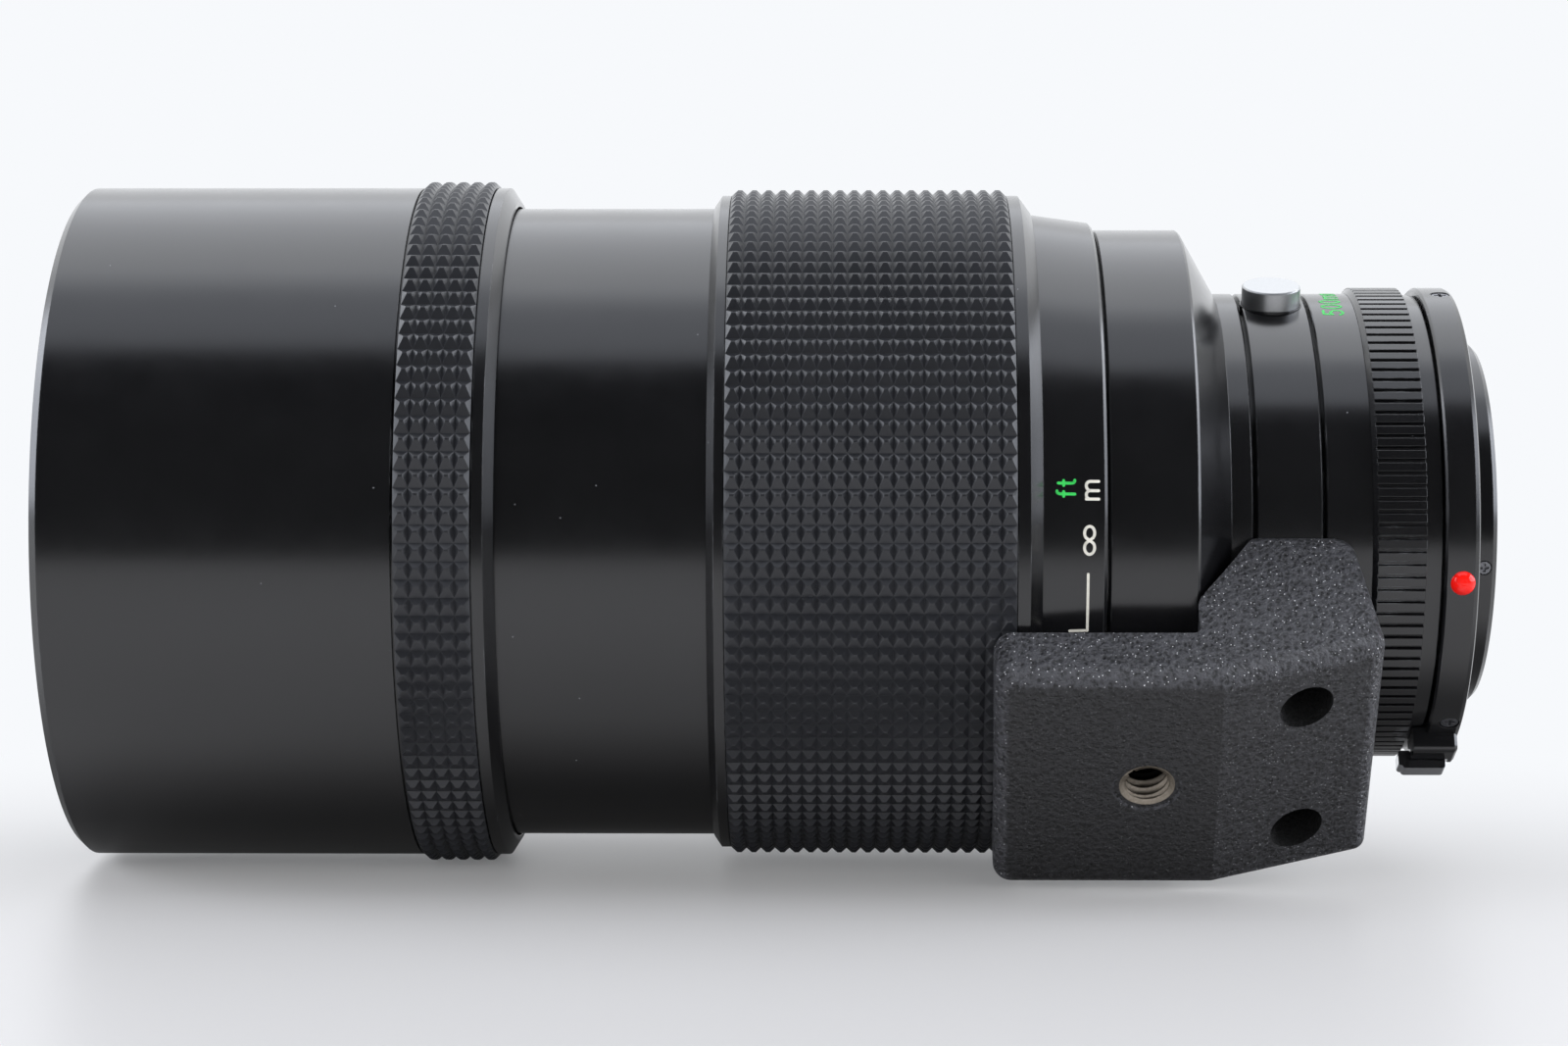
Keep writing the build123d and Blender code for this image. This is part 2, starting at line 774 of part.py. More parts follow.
def bayonet_plate():
    """Steel plate inside the skirt with the lugs that grip the camera's mount."""
    plate = tube(PLATE_FRONT, PLATE_BACK, THROAT_R + 0.1, PLATE_R)
    lug_arc = 50.0
    lug_r = 26.9
    wall = (
        (PLATE_BACK, PLATE_R - 0.8),
        (PLATE_BACK, PLATE_R),
        (-0.5, PLATE_R),
        (-0.5, lug_r),
        (-1.5, lug_r),
        (-1.5, PLATE_R - 0.8),
    )
    for index in range(BAYONET_LUGS):
        lug = revolve(make_face(Polyline(*wall, close=True)), Axis.X, lug_arc)
        plate += Rot(index * 360 / BAYONET_LUGS + 20, 0, 0) * lug
    return plate


def throat_ring():
    """Ring that enters the camera's throat and turns against the skirt."""
    ring = turned(
        (SKIRT_FRONT - 1.2, THROAT_BORE_R),
        (SKIRT_FRONT - 1.2, REAR_BORE_R - 0.1),
        (SKIRT_FRONT - 0.2, REAR_BORE_R - 0.1),
        (SKIRT_FRONT - 0.2, THROAT_RELIEF_R),
        (THROAT_WALL_FRONT, THROAT_RELIEF_R),
        (THROAT_WALL_FRONT, THROAT_R),
        (THROAT_BACK - 0.6, THROAT_R),
        (THROAT_BACK, THROAT_R - 0.6),
        (THROAT_BACK, THROAT_BORE_R),
    )
    for below in THROAT_SCREWS_BELOW:
        ring -= facing(below, post(1.75, THROAT_HEAD_R + 0.1, THROAT_R - 0.75, 30.0))
        ring -= facing(below, post(1.75, THROAT_HEAD_R * 0.5, 21.5, 30.0))
    return ring


def throat_screws():
    """Small cross-head screws in the side of the throat ring."""
    return Compound(
        children=[
            facing(below, small_screw(1.75, THROAT_R + 0.1, THROAT_HEAD_R, 1.9))
            for below in THROAT_SCREWS_BELOW
        ]
    )


def signal_pins():
    """Two pins on the back of the throat ring that tell the camera the lens type."""
    middle_r = (THROAT_BORE_R + THROAT_R) / 2
    pins = []
    for below, length in ((95.0, 1.6), (215.0, 2.4)):
        y = -middle_r * cos(radians(below))
        z = -middle_r * sin(radians(below))
        plane = Plane(origin=(THROAT_BACK, y, z), z_dir=(1, 0, 0))
        pins.append(extrude(plane * Circle(0.8), length))
    return Compound(children=pins)


def light_guard():
    """Ribbed black tube inside the throat, in front of the rear filter."""
    points = [(-16.0, REAR_BORE_R)]
    steps = 6
    pitch = 1.5
    for index in range(steps):
        front = -16.0 + index * pitch
        points.append((front, 19.4))
        points.append((front + pitch, 21.2))
    points.append((-16.0 + steps * pitch, REAR_BORE_R))
    return turned(*points)


def rear_filter_ring():
    """Threaded ring of the rear filter."""
    return turned(
        (-14.4, 15.0),
        (-14.4, FILTER_THREAD_R),
        (-11.4, FILTER_THREAD_R),
        (-11.4, 18.0),
        (-8.0, 18.0),
        (-8.0, 16.2),
        (-10.6, 16.2),
        (-10.6, 15.0),
    )


def rear_filter_glass():
    """Plane glass of the rear filter."""
    return glass_disc(-13.4, -11.6, 15.0, 0, 0)


def release_housing():
    """Block on the skirt that guides the release button."""
    block = slab((-6.2, -0.4), (-2.6, 2.6), (29.0, 34.1))
    block = fillet(block.edges().filter_by(Axis.X).group_by(Axis.Z)[-1], 0.9)
    block = chamfer(block.faces().sort_by(Axis.X)[-1].edges().filter_by(Axis.Z), 0.4)
    block -= slab((-7.0, -1.3), (-3.6, -0.75), (32.0, 36.0))
    block -= tube(-10.0, SKIRT_FRONT, 5.0, RIBS_R - 0.8)
    block -= tube(SKIRT_FRONT - 0.01, 2.0, 5.0, SKIRT_R)
    return facing(RELEASE_BELOW, block)


def release_button():
    """Chrome button that frees the lens from the camera."""
    pad = slab((-7.3, -1.6), (-3.6, -1.0), (33.0, 35.3))
    pad = fillet(pad.edges().filter_by(Axis.Y), 0.5)
    tab = slab((-7.8, -6.1), (-3.6, -1.0), (32.8, 34.9))
    tab = fillet(tab.edges().filter_by(Axis.Y), 0.4)
    return facing(RELEASE_BELOW, pad + tab)


def release_spring():
    """Small spring under the release button."""
    spring = post(-3.8, 0.75, 32.0, 33.0, -1.78) - post(-3.8, 0.4, 31.0, 34.0, -1.78)
    return facing(RELEASE_BELOW, spring)


def main():
    corrector = front_corrector_lens()
    pieces = {
        "hood_tube": hood_tube(),
        "hood_grip": hood_grip(),
        "hood_lining": hood_lining(),
        "hood_thread_ring": hood_thread_ring(),
        "front_barrel": front_barrel(),
        "front_cell": front_cell(),
        "front_corrector_lens": corrector,
        "front_retaining_ring": front_retaining_ring(),
        "secondary_cap": secondary_cap(corrector),
        "secondary_mirror": secondary_mirror(corrector),
        "secondary_baffle": secondary_baffle(corrector),
        "helicoid_ring": helicoid_ring(),
        "focus_sleeve": focus_sleeve(),
        "focus_grip": focus_grip(),
        "scale_ring": scale_ring(),
        "focus_stop_ring": focus_stop_ring(),
        "guide_keys": guide_keys(),
        "main_barrel": main_barrel(),
        "primary_mirror": primary_mirror(),
        "mirror_cell": mirror_cell(),
        "mirror_retaining_ring": mirror_retaining_ring(),
        "central_baffle": central_baffle(),
        "rear_lens_cell": rear_lens_cell(),
        "rear_lens_front": rear_lens_front(),
        "rear_lens_back": rear_lens_back(),
        "rear_lens_retainer": rear_lens_retainer(),
        "collar_ring": collar_ring(),
        "button_sleeve": button_sleeve(),
        "tripod_foot": tripod_foot(),
        "tripod_bush": tripod_bush(),
        "foot_screws": foot_screws(),
        "collar_button": collar_button(),
        "button_spring": button_spring(),
        "number_ring": number_ring(),
        "ribbed_grip_ring": ribbed_grip_ring(),
        "mount_skirt": mount_skirt(),
        "skirt_screws": skirt_screws(),
        "index_bead": index_bead(),
        "bayonet_plate": bayonet_plate(),
        "throat_ring": throat_ring(),
        "throat_screws": throat_screws(),
        "signal_pins": signal_pins(),
        "light_guard": light_guard(),
        "rear_filter_ring": rear_filter_ring(),
        "rear_filter_glass": rear_filter_glass(),
        "release_housing": release_housing(),
        "release_button": release_button(),
        "release_spring": release_spring(),
    }
    for name, shape in pieces.items():
        save(name, shape)


main()
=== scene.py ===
# %% [markdown]
# # Dressing a mirror lens
# A mirror lens is a short, fat telephoto: two mirrors fold the light, so a long focal
# length fits in a stubby black tube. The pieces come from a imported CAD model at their
# real size, so this lesson never moves one. It gives each piece its surface, swaps the
# plain rubber sleeves for moulded ones, paints the marks and sets up the studio.
# X runs along the optical axis towards the camera body, -Y faces the photographer.
# %% Load the frame
import json
import math

import bpy
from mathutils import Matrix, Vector


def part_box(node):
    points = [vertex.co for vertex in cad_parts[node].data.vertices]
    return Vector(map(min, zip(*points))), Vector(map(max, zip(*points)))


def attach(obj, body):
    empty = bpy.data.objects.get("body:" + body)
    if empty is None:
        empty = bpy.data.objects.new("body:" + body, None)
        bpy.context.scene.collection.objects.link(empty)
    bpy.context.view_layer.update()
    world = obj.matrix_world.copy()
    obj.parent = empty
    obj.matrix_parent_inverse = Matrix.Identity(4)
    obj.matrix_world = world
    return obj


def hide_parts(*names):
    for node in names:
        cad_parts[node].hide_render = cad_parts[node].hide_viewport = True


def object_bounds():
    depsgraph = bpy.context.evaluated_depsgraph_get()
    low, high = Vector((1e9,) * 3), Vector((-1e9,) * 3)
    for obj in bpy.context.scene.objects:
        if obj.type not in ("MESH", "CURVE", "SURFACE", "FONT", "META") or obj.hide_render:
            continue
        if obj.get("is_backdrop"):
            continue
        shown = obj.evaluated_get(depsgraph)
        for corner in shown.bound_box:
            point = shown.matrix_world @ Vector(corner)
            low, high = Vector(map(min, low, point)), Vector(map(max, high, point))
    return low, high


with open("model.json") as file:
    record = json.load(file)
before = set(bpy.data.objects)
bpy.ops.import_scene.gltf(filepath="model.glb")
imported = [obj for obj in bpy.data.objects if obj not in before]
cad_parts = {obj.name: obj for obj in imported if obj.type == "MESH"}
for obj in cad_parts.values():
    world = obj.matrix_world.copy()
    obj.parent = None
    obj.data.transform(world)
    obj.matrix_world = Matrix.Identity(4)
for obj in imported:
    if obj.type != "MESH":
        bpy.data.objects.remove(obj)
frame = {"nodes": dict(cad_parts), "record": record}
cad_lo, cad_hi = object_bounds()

MM = 0.001
scene = bpy.context.scene
scene.view_settings.view_transform = "Standard"
print("box in mm:", [round(v / MM, 1) for v in (*cad_lo, *cad_hi)])

# %% [markdown]
# ## Camera
# A product photographer stands half a metre off with a longish lens, a little above the
# table. Keeping that distance matters more than anything else for the likeness: it sets
# how much of the far rim of each ring can be seen. So the camera is placed by distance
# and angles round a point on the optical axis, and its focal length does the framing.
# %% Camera
AXIS_POINT = Vector((-89.60, 0, 0)) * MM
AIM_BELOW_AXIS = 0.23 * MM
CAMERA_DISTANCE = 514.7 * MM
CAMERA_AZIMUTH = math.radians(0.84)
CAMERA_ELEVATION = math.radians(4.0)
FOCAL_LENGTH = 86.57
SENSOR_WIDTH = 36.0

towards_camera = Vector((
    math.sin(CAMERA_AZIMUTH) * math.cos(CAMERA_ELEVATION),
    -math.cos(CAMERA_AZIMUTH) * math.cos(CAMERA_ELEVATION),
    math.sin(CAMERA_ELEVATION),
))
camera = bpy.data.objects.new("camera", bpy.data.cameras.new("camera"))
scene.collection.objects.link(camera)
camera.data.lens = FOCAL_LENGTH
camera.data.sensor_width = SENSOR_WIDTH
camera.location = AXIS_POINT + towards_camera * CAMERA_DISTANCE
aim = AXIS_POINT - Vector((0, 0, AIM_BELOW_AXIS))
camera.rotation_mode = "QUATERNION"
camera.rotation_quaternion = (aim - camera.location).to_track_quat("-Z", "Y")
scene.camera = camera
print("camera in mm:", [round(v / MM, 1) for v in camera.location])

# %% [markdown]
# ## Three small helpers
# Colours are given as sRGB hex values, as a screen shows them, but shaders add light in
# linear numbers. One function turns the first into the second. Another adds a node with
# its settings and its links, which keeps every material below short enough to read. The
# third starts a material, and sets whatever is the same all over on the shader itself.
# %% Helpers for colours and nodes
def linear(hex_colour):
    """An sRGB hex colour as linear red, green, blue and alpha."""
    parts = [int(hex_colour[i:i + 2], 16) / 255 for i in (1, 3, 5)]
    return (*[p / 12.92 if p <= 0.04045 else ((p + 0.055) / 1.055) ** 2.4 for p in parts], 1.0)


def add(tree, kind, inputs=None, **settings):
    """A new node. Settings are its own properties; inputs hold a value or a socket to link."""
    node = tree.nodes.new("ShaderNode" + kind)
    for key, value in settings.items():
        setattr(node, key, value)
    for key, value in (inputs or {}).items():
        if isinstance(value, bpy.types.NodeSocket):
            tree.links.new(value, node.inputs[key])
        else:
            node.inputs[key].default_value = value
    return node


def finish(name, colour, **constants):
    """A material whose Principled shader holds every value that is constant on the surface."""
    made = bpy.data.materials.new(name)
    made.use_nodes = True
    shader = made.node_tree.nodes["Principled BSDF"]
    shader.inputs["Base Color"].default_value = linear(colour)
    for key, value in constants.items():
        shader.inputs[key.replace("_", " ")].default_value = value
    return made, made.node_tree, shader


print("black", linear("#0d0d0e")[:3])

# %% [markdown]
# ## The room
# Shiny black is drawn by what it reflects, so the room is the real light of this scene.
# White paper hangs behind the lens, which gives the bright rims at grazing angles. Low
# down to the left and right of it, and everywhere on the photographer's side, the room
# is dark, which keeps the middle of the tubes black. The nodes turn the direction of a
# ray into one share between 0 and 1, which says how much of the paper that ray meets.
# %% What a mirror sees: paper behind, a dark side where the photographer stands
PAPER = "#f7f9fc"
ROOM_BEHIND = 1.4                      # strength of the paper behind the lens
ROOM_IN_FRONT = 0.012                  # and of the dark side
# Each pair is a range of a ray's direction, whose X, Y and Z go from -1 to 1.
DARK_TO_PAPER = (-0.10, 0.20)          # Y, from the photographer's side to the paper
SIDE_WALLS = (0.62, 0.78)              # X to either side, from the paper to a dark wall
WALL_TOP = (0.25, 0.45)                # Z, from the dark walls to the paper above them

world = bpy.data.worlds.new("studio")
scene.world = world
world.use_nodes = True
room = world.node_tree
room.nodes.clear()
ray = add(room, "TexCoord").outputs["Generated"]
direction = add(room, "SeparateXYZ", {"Vector": ray})
behind = add(room, "MapRange", {
    "Value": direction.outputs["Y"], "From Min": DARK_TO_PAPER[0], "From Max": DARK_TO_PAPER[1],
}, interpolation_type="SMOOTHSTEP")
sideways = add(room, "Math", {0: direction.outputs["X"]}, operation="ABSOLUTE")
between_walls = add(room, "MapRange", {
    "Value": sideways.outputs[0], "From Min": SIDE_WALLS[0], "From Max": SIDE_WALLS[1],
    "To Min": 1.0, "To Max": 0.0,
}, interpolation_type="SMOOTHSTEP")
above_walls = add(room, "MapRange", {
    "Value": direction.outputs["Z"], "From Min": WALL_TOP[0], "From Max": WALL_TOP[1],
}, interpolation_type="SMOOTHSTEP")
open_space = add(room, "Math", {0: between_walls.outputs[0], 1: above_walls.outputs[0]},
                 operation="MAXIMUM")
paper_met = add(room, "Math", {0: behind.outputs[0], 1: open_space.outputs[0]},
                operation="MULTIPLY")
level = add(room, "MapRange", {
    "Value": paper_met.outputs[0], "To Min": ROOM_IN_FRONT, "To Max": ROOM_BEHIND,
})
mirrored = add(room, "Background", {"Color": linear(PAPER), "Strength": level.outputs[0]})
print("mirrored room from", ROOM_IN_FRONT, "to", ROOM_BEHIND)

# %% [markdown]
# Matt surfaces gather light from all sides, so they get a fill of their own: pale walls
# that reach about a third of the way up, brightest on the photographer's side. Light
# that comes in this low gets under the tubes, so their shadow on the table stays narrow.
# Camera rays see plain white paper in every direction. The Light Path node tells the
# kinds of ray apart.
# %% What matt surfaces and the camera see
WALL_FILL = 2.8
CEILING_FILL = 0.10
REAR_SHARE = 0.45                      # what the fill keeps on the far side of the lens
FILL_TOP = (0.34, 0.58)                # Z, from the pale walls to the ceiling
FRONT_TO_REAR = (-0.3, 0.4)            # Y, from the photographer's side to the far side

by_height = add(room, "MapRange", {
    "Value": direction.outputs["Z"], "From Min": FILL_TOP[0], "From Max": FILL_TOP[1],
    "To Min": WALL_FILL, "To Max": CEILING_FILL,
}, interpolation_type="SMOOTHSTEP")
by_side = add(room, "MapRange", {
    "Value": direction.outputs["Y"], "From Min": FRONT_TO_REAR[0], "From Max": FRONT_TO_REAR[1],
    "To Min": 1.0, "To Max": REAR_SHARE,
}, interpolation_type="SMOOTHSTEP")
fill = add(room, "Math", {0: by_height.outputs[0], 1: by_side.outputs[0]}, operation="MULTIPLY")
filled = add(room, "Background", {"Color": linear(PAPER), "Strength": fill.outputs[0]})
backdrop = add(room, "Background", {"Color": linear(PAPER), "Strength": 1.0})
path = add(room, "LightPath")
shiny = add(room, "Math", {
    0: path.outputs["Is Glossy Ray"], 1: path.outputs["Is Transmission Ray"],
}, operation="MAXIMUM")
lit = add(room, "MixShader", {0: shiny.outputs[0], 1: filled.outputs[0], 2: mirrored.outputs[0]})
seen = add(room, "MixShader", {
    0: path.outputs["Is Camera Ray"], 1: lit.outputs[0], 2: backdrop.outputs[0],
})
add(room, "OutputWorld", {"Surface": seen.outputs[0]})
print("fill from", CEILING_FILL, "at the ceiling to", WALL_FILL, "at the walls")

# %% [markdown]
# ## Softboxes
# Two large softboxes hang over the lens in a row and reach far back, the rear one turned
# down a little. Their reflection is the broad grey band along the upper third of every
# tube; where the front softbox ends, the band ends.
#
# Two more stand at the left and right ends. Tubes cannot mirror them towards the camera,
# but every chamfer and rubber facet that faces along the axis can, and lights up.
# %% Softboxes, with lengths in metres
SOFTBOX_LIGHT = "#eff4ff"
SOFTBOX_HEIGHT = 1.25
SOFTBOX_FRONT = -0.64
SOFTBOX_JOIN = 0.15
SOFTBOX_BACK = 1.90
SOFTBOX_LENGTH = 1.7
FRONT_RADIANCE = 1.12
REAR_RADIANCE = 0.74
END_DISTANCE = 1.0
END_PLACE = (0.02, 0.34)               # across and above the axis
END_SIZE = (1.05, 0.66)
END_RADIANCE = 3.5


def softbox(name, place, target, size, radiance):
    """A rectangular lamp of a given radiance, which looks equally bright at any size."""
    lamp = bpy.data.lights.new(name, "AREA")
    lamp.shape = "RECTANGLE"
    lamp.size, lamp.size_y = size
    lamp.color = linear(SOFTBOX_LIGHT)[:3]
    lamp.energy = radiance * math.pi * size[0] * size[1]
    box = bpy.data.objects.new(name, lamp)
    scene.collection.objects.link(box)
    box.location = place
    box.rotation_mode = "QUATERNION"
    box.rotation_quaternion = (Vector(target) - Vector(place)).to_track_quat("-Z", "Y")
    box.visible_camera = False
    print(name, round(lamp.energy, 2), "W")


for name, start, end, radiance in (
        ("softbox_overhead", SOFTBOX_FRONT, SOFTBOX_JOIN, FRONT_RADIANCE),
        ("softbox_behind", SOFTBOX_JOIN, SOFTBOX_BACK, REAR_RADIANCE)):
    middle = (start + end) / 2
    softbox(name, (AXIS_POINT.x, middle, SOFTBOX_HEIGHT), (AXIS_POINT.x, middle, 0),
            (SOFTBOX_LENGTH, end - start), radiance)
for name, side in (("softbox_front_end", -1), ("softbox_rear_end", 1)):
    softbox(name, (AXIS_POINT.x + side * END_DISTANCE, *END_PLACE), AXIS_POINT,
            END_SIZE, END_RADIANCE)

# %% [markdown]
# ## The table
# The lens lies on a pale sheet that curves up into the white paper. A reader could model
# that curve, but it would cut through views from other sides. A flat floor that fades
# into the backdrop colour round the lens does the same job and still holds the soft
# shadow. The camera sees a little of the paper's glow mixed in, which keeps that shadow
# light.
# %% The table as the camera sees it, with lengths in metres
FLOOR_GREY = "#e2dfdc"
FADE_CENTRE = Vector((-0.09, -0.13, 0))
FADE_START = 0.12
FADE_END = 0.27
SHADOW_LIFT = 0.16
GLOW_NEAR = 0.84                       # the glow's strength by the lens; it is 1 where it ends

floor_paint, tree, shader = finish("pale_matt_table_sheet", FLOOR_GREY, Roughness=0.42, IOR=1.45)
place = add(tree, "TexCoord").outputs["Object"]
away = add(tree, "VectorMath", {0: place, 1: FADE_CENTRE}, operation="DISTANCE")
fade = add(tree, "MapRange", {
    "Value": away.outputs["Value"], "From Min": FADE_START, "From Max": FADE_END,
    "To Min": 0.0, "To Max": 1.0,
}, interpolation_type="SMOOTHSTEP")
path = add(tree, "LightPath")
lift = add(tree, "Math", {0: path.outputs["Is Camera Ray"], 1: SHADOW_LIFT}, operation="MULTIPLY")
lifted = add(tree, "Math", {0: fade.outputs[0], 1: lift.outputs[0]}, operation="MAXIMUM")
mirrored = add(tree, "Math", {
    0: path.outputs["Is Glossy Ray"], 1: path.outputs["Is Transmission Ray"],
}, operation="MAXIMUM")
direct = add(tree, "Math", {0: path.outputs["Is Camera Ray"], 1: mirrored.outputs[0]},
             operation="MAXIMUM")
share = add(tree, "Math", {0: lifted.outputs[0], 1: direct.outputs[0]}, operation="MULTIPLY")
glow = add(tree, "MapRange", {
    "Value": away.outputs["Value"], "From Min": FADE_START, "From Max": FADE_END,
    "To Min": GLOW_NEAR, "To Max": 1.0,
}, interpolation_type="SMOOTHSTEP")
paper = add(tree, "Emission", {"Color": linear(PAPER), "Strength": glow.outputs[0]})
blend = add(tree, "MixShader", {0: share.outputs[0], 1: shader.outputs[0], 2: paper.outputs[0]})
print("the sheet fades out between", FADE_START, "and", FADE_END, "m")

# %% [markdown]
# The real sheet ends a third of a metre in front of the lens, and only reflections show
# it: this is where the tubes turn black. Reflections also get a painted shadow right under
# the lens, where the sheet is coloured dark for them, which rounds off the bottom of each tube.
# %% The table as the tubes mirror it, and its painted shadow, with lengths in metres
FRONT_EDGE = -0.32
EDGE_BLUR = 0.02
PAINTED_SHADOW_FRONT = (-0.045, -0.020)          # Y, from the lit sheet in front to the dark part
PAINTED_SHADOW_BACK = (0.04, 0.08)             # Y, from the dark part to the lit sheet behind
PAINTED_SHADOW_ENDS = (0.16, 0.22)           # the same for the distance from FADE_CENTRE
# how dark the painted shadow under the lens is, from 0 to 1
PAINTED_SHADOW_DEPTH = 0.75

across = add(tree, "SeparateXYZ", {"Vector": place})
beyond = add(tree, "MapRange", {
    "Value": across.outputs["Y"],
    "From Min": FRONT_EDGE + EDGE_BLUR, "From Max": FRONT_EDGE - EDGE_BLUR,
})
painted_shadow = add(tree, "MapRange", {
    "Value": across.outputs["Y"], "From Min": PAINTED_SHADOW_FRONT[0], "From Max": PAINTED_SHADOW_FRONT[1],
    "To Min": 0.0, "To Max": PAINTED_SHADOW_DEPTH,
}, interpolation_type="SMOOTHSTEP")
shadow_before_rear = add(tree, "MapRange", {
    "Value": across.outputs["Y"], "From Min": PAINTED_SHADOW_BACK[0], "From Max": PAINTED_SHADOW_BACK[1],
    "To Min": 1.0, "To Max": 0.0,
}, interpolation_type="SMOOTHSTEP")
shadow_between_ends = add(tree, "MapRange", {
    "Value": away.outputs["Value"], "From Min": PAINTED_SHADOW_ENDS[0], "From Max": PAINTED_SHADOW_ENDS[1],
    "To Min": 1.0, "To Max": 0.0,
}, interpolation_type="SMOOTHSTEP")
painted_shadow = add(tree, "Math", {0: painted_shadow.outputs[0], 1: shadow_before_rear.outputs[0]}, operation="MULTIPLY")
painted_shadow = add(tree, "Math", {0: painted_shadow.outputs[0], 1: shadow_between_ends.outputs[0]}, operation="MULTIPLY")
edge_and_painted_shadow = add(tree, "Math", {0: beyond.outputs[0], 1: painted_shadow.outputs[0]}, operation="MAXIMUM")
mirrored_edge_and_shadow = add(tree, "Math", {0: edge_and_painted_shadow.outputs[0], 1: mirrored.outputs[0]},
                operation="MULTIPLY")
# the dark room beyond the edge and the painted shadow under the lens are both this dim glow
dark_room_and_painted_shadow = add(tree, "Emission", {"Color": linear(PAPER), "Strength": ROOM_IN_FRONT})
ended = add(tree, "MixShader", {
    0: mirrored_edge_and_shadow.outputs[0], 1: blend.outputs[0], 2: dark_room_and_painted_shadow.outputs[0],
})
tree.links.new(ended.outputs[0], tree.nodes["Material Output"].inputs["Surface"])
print("the sheet ends at y", FRONT_EDGE, "m")

# %% [markdown]
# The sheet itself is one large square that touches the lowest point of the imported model.
# Calling it the stage keeps it apart from the lens.
# %% Laying the sheet
FLOOR_HALF = 3.0

floor_mesh = bpy.data.meshes.new("table")
floor_z = cad_lo.z
corners = [(-1, -1), (1, -1), (1, 1), (-1, 1)]
floor_mesh.from_pydata([(x * FLOOR_HALF, y * FLOOR_HALF, floor_z) for x, y in corners],
                       [], [(0, 1, 2, 3)])
floor_mesh.materials.append(floor_paint)
table = bpy.data.objects.new("table", floor_mesh)
scene.collection.objects.link(table)
table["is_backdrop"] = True
print("table at", round(floor_z / MM, 2), "mm")

# %% [markdown]
# ## Black anodised aluminium
# The tubes are turned from aluminium, blasted with fine beads and anodised: a glassy
# oxide layer a few hundredths of a millimetre thick, dyed black. The eye sees the oxide
# and not the metal, so this is a dielectric with a rather high index, a satin sheen from
# the beads, and pale metal only where a sharp edge has been rubbed through. The Bevel
# node rounds each edge for the shading, and where it bends the normal the edge is worn.
# %% Black anodised aluminium
FINISHES = {}
NOISE_RANGE = (0.3, 0.7)       # nearly all values of a noise lie in it
BEAD_MARK = 0.22 * MM          # the beads are nearer 0.08 mm, drawn coarser so that they show
BEAD_DEPTH = 0.004 * MM
EDGE_ROUNDING = 0.16 * MM
EDGE_BEND = (0.97, 0.86)       # cosine of the bend, from no wear to full wear
RUB_MARK = 9.0 * MM
RUBBED_PART = (0.52, 0.66)     # values of the rubbing noise where an edge is worn through
DUST_SPACING = 5.0 * MM
DUST_SIZE = (0.022, 0.012)     # from the edge of a speck inwards, in spacings
SATIN = (0.19, 0.24)

anodised, tree, shader = finish("satin_black_anodised_aluminium", "#0e0e0f", IOR=1.75)
place = add(tree, "TexCoord").outputs["Object"]
rounded = add(tree, "Bevel", {"Radius": EDGE_ROUNDING}, samples=4)
flat = add(tree, "NewGeometry")
facing = add(tree, "VectorMath", {0: rounded.outputs["Normal"], 1: flat.outputs["Normal"]},
             operation="DOT_PRODUCT")
edge = add(tree, "MapRange", {
    "Value": facing.outputs["Value"], "From Min": EDGE_BEND[0], "From Max": EDGE_BEND[1],
})
rub = add(tree, "TexNoise", {
    "Vector": place, "Scale": 1 / RUB_MARK, "Detail": 6.0, "Roughness": 0.7,
})
rubbed = add(tree, "MapRange", {
    "Value": rub.outputs["Fac"], "From Min": RUBBED_PART[0], "From Max": RUBBED_PART[1],
})
worn = add(tree, "Math", {0: edge.outputs[0], 1: rubbed.outputs[0]}, operation="MULTIPLY")
dust = add(tree, "TexVoronoi", {"Vector": place, "Scale": 1 / DUST_SPACING, "Randomness": 1.0})
speck = add(tree, "MapRange", {
    "Value": dust.outputs["Distance"], "From Min": DUST_SIZE[0], "From Max": DUST_SIZE[1],
})
marks = add(tree, "Math", {0: worn.outputs[0], 1: speck.outputs[0]}, operation="MAXIMUM")
tone = add(tree, "Mix", {
    "Factor": rub.outputs["Fac"], 6: linear("#09090a"), 7: linear("#101012"),
}, data_type="RGBA")
skin = add(tree, "Mix", {
    "Factor": marks.outputs[0], 6: tone.outputs[2], 7: linear("#7b7d80"),
}, data_type="RGBA")
satin = add(tree, "MapRange", {
    "Value": rub.outputs["Fac"], "From Min": NOISE_RANGE[0], "From Max": NOISE_RANGE[1],
    "To Min": SATIN[0], "To Max": SATIN[1],
})
beads = add(tree, "TexNoise", {"Vector": place, "Scale": 1 / BEAD_MARK, "Detail": 2.0})
grain = add(tree, "Bump", {
    "Height": beads.outputs["Fac"], "Normal": rounded.outputs["Normal"],
    "Strength": 0.2, "Distance": BEAD_DEPTH,
})
tree.links.new(skin.outputs[2], shader.inputs["Base Color"])
tree.links.new(satin.outputs[0], shader.inputs["Roughness"])
tree.links.new(grain.outputs[0], shader.inputs["Normal"])
FINISHES["black_anodised"] = anodised
print("anodised: bead mark", BEAD_MARK / MM, "mm, edge rounding", EDGE_ROUNDING / MM, "mm")

# %% [markdown]
# ## Matt black inside
# Everything that light passes is painted dead matt so that stray light dies there. The
# paint is soft and a little dusty, so it is rough, grey at grazing angles and faintly
# mottled, never a clean black.
# %% Matt black paint inside the tubes
PAINT_GRAIN = 0.35 * MM
PAINT_TOOTH = 0.02 * MM

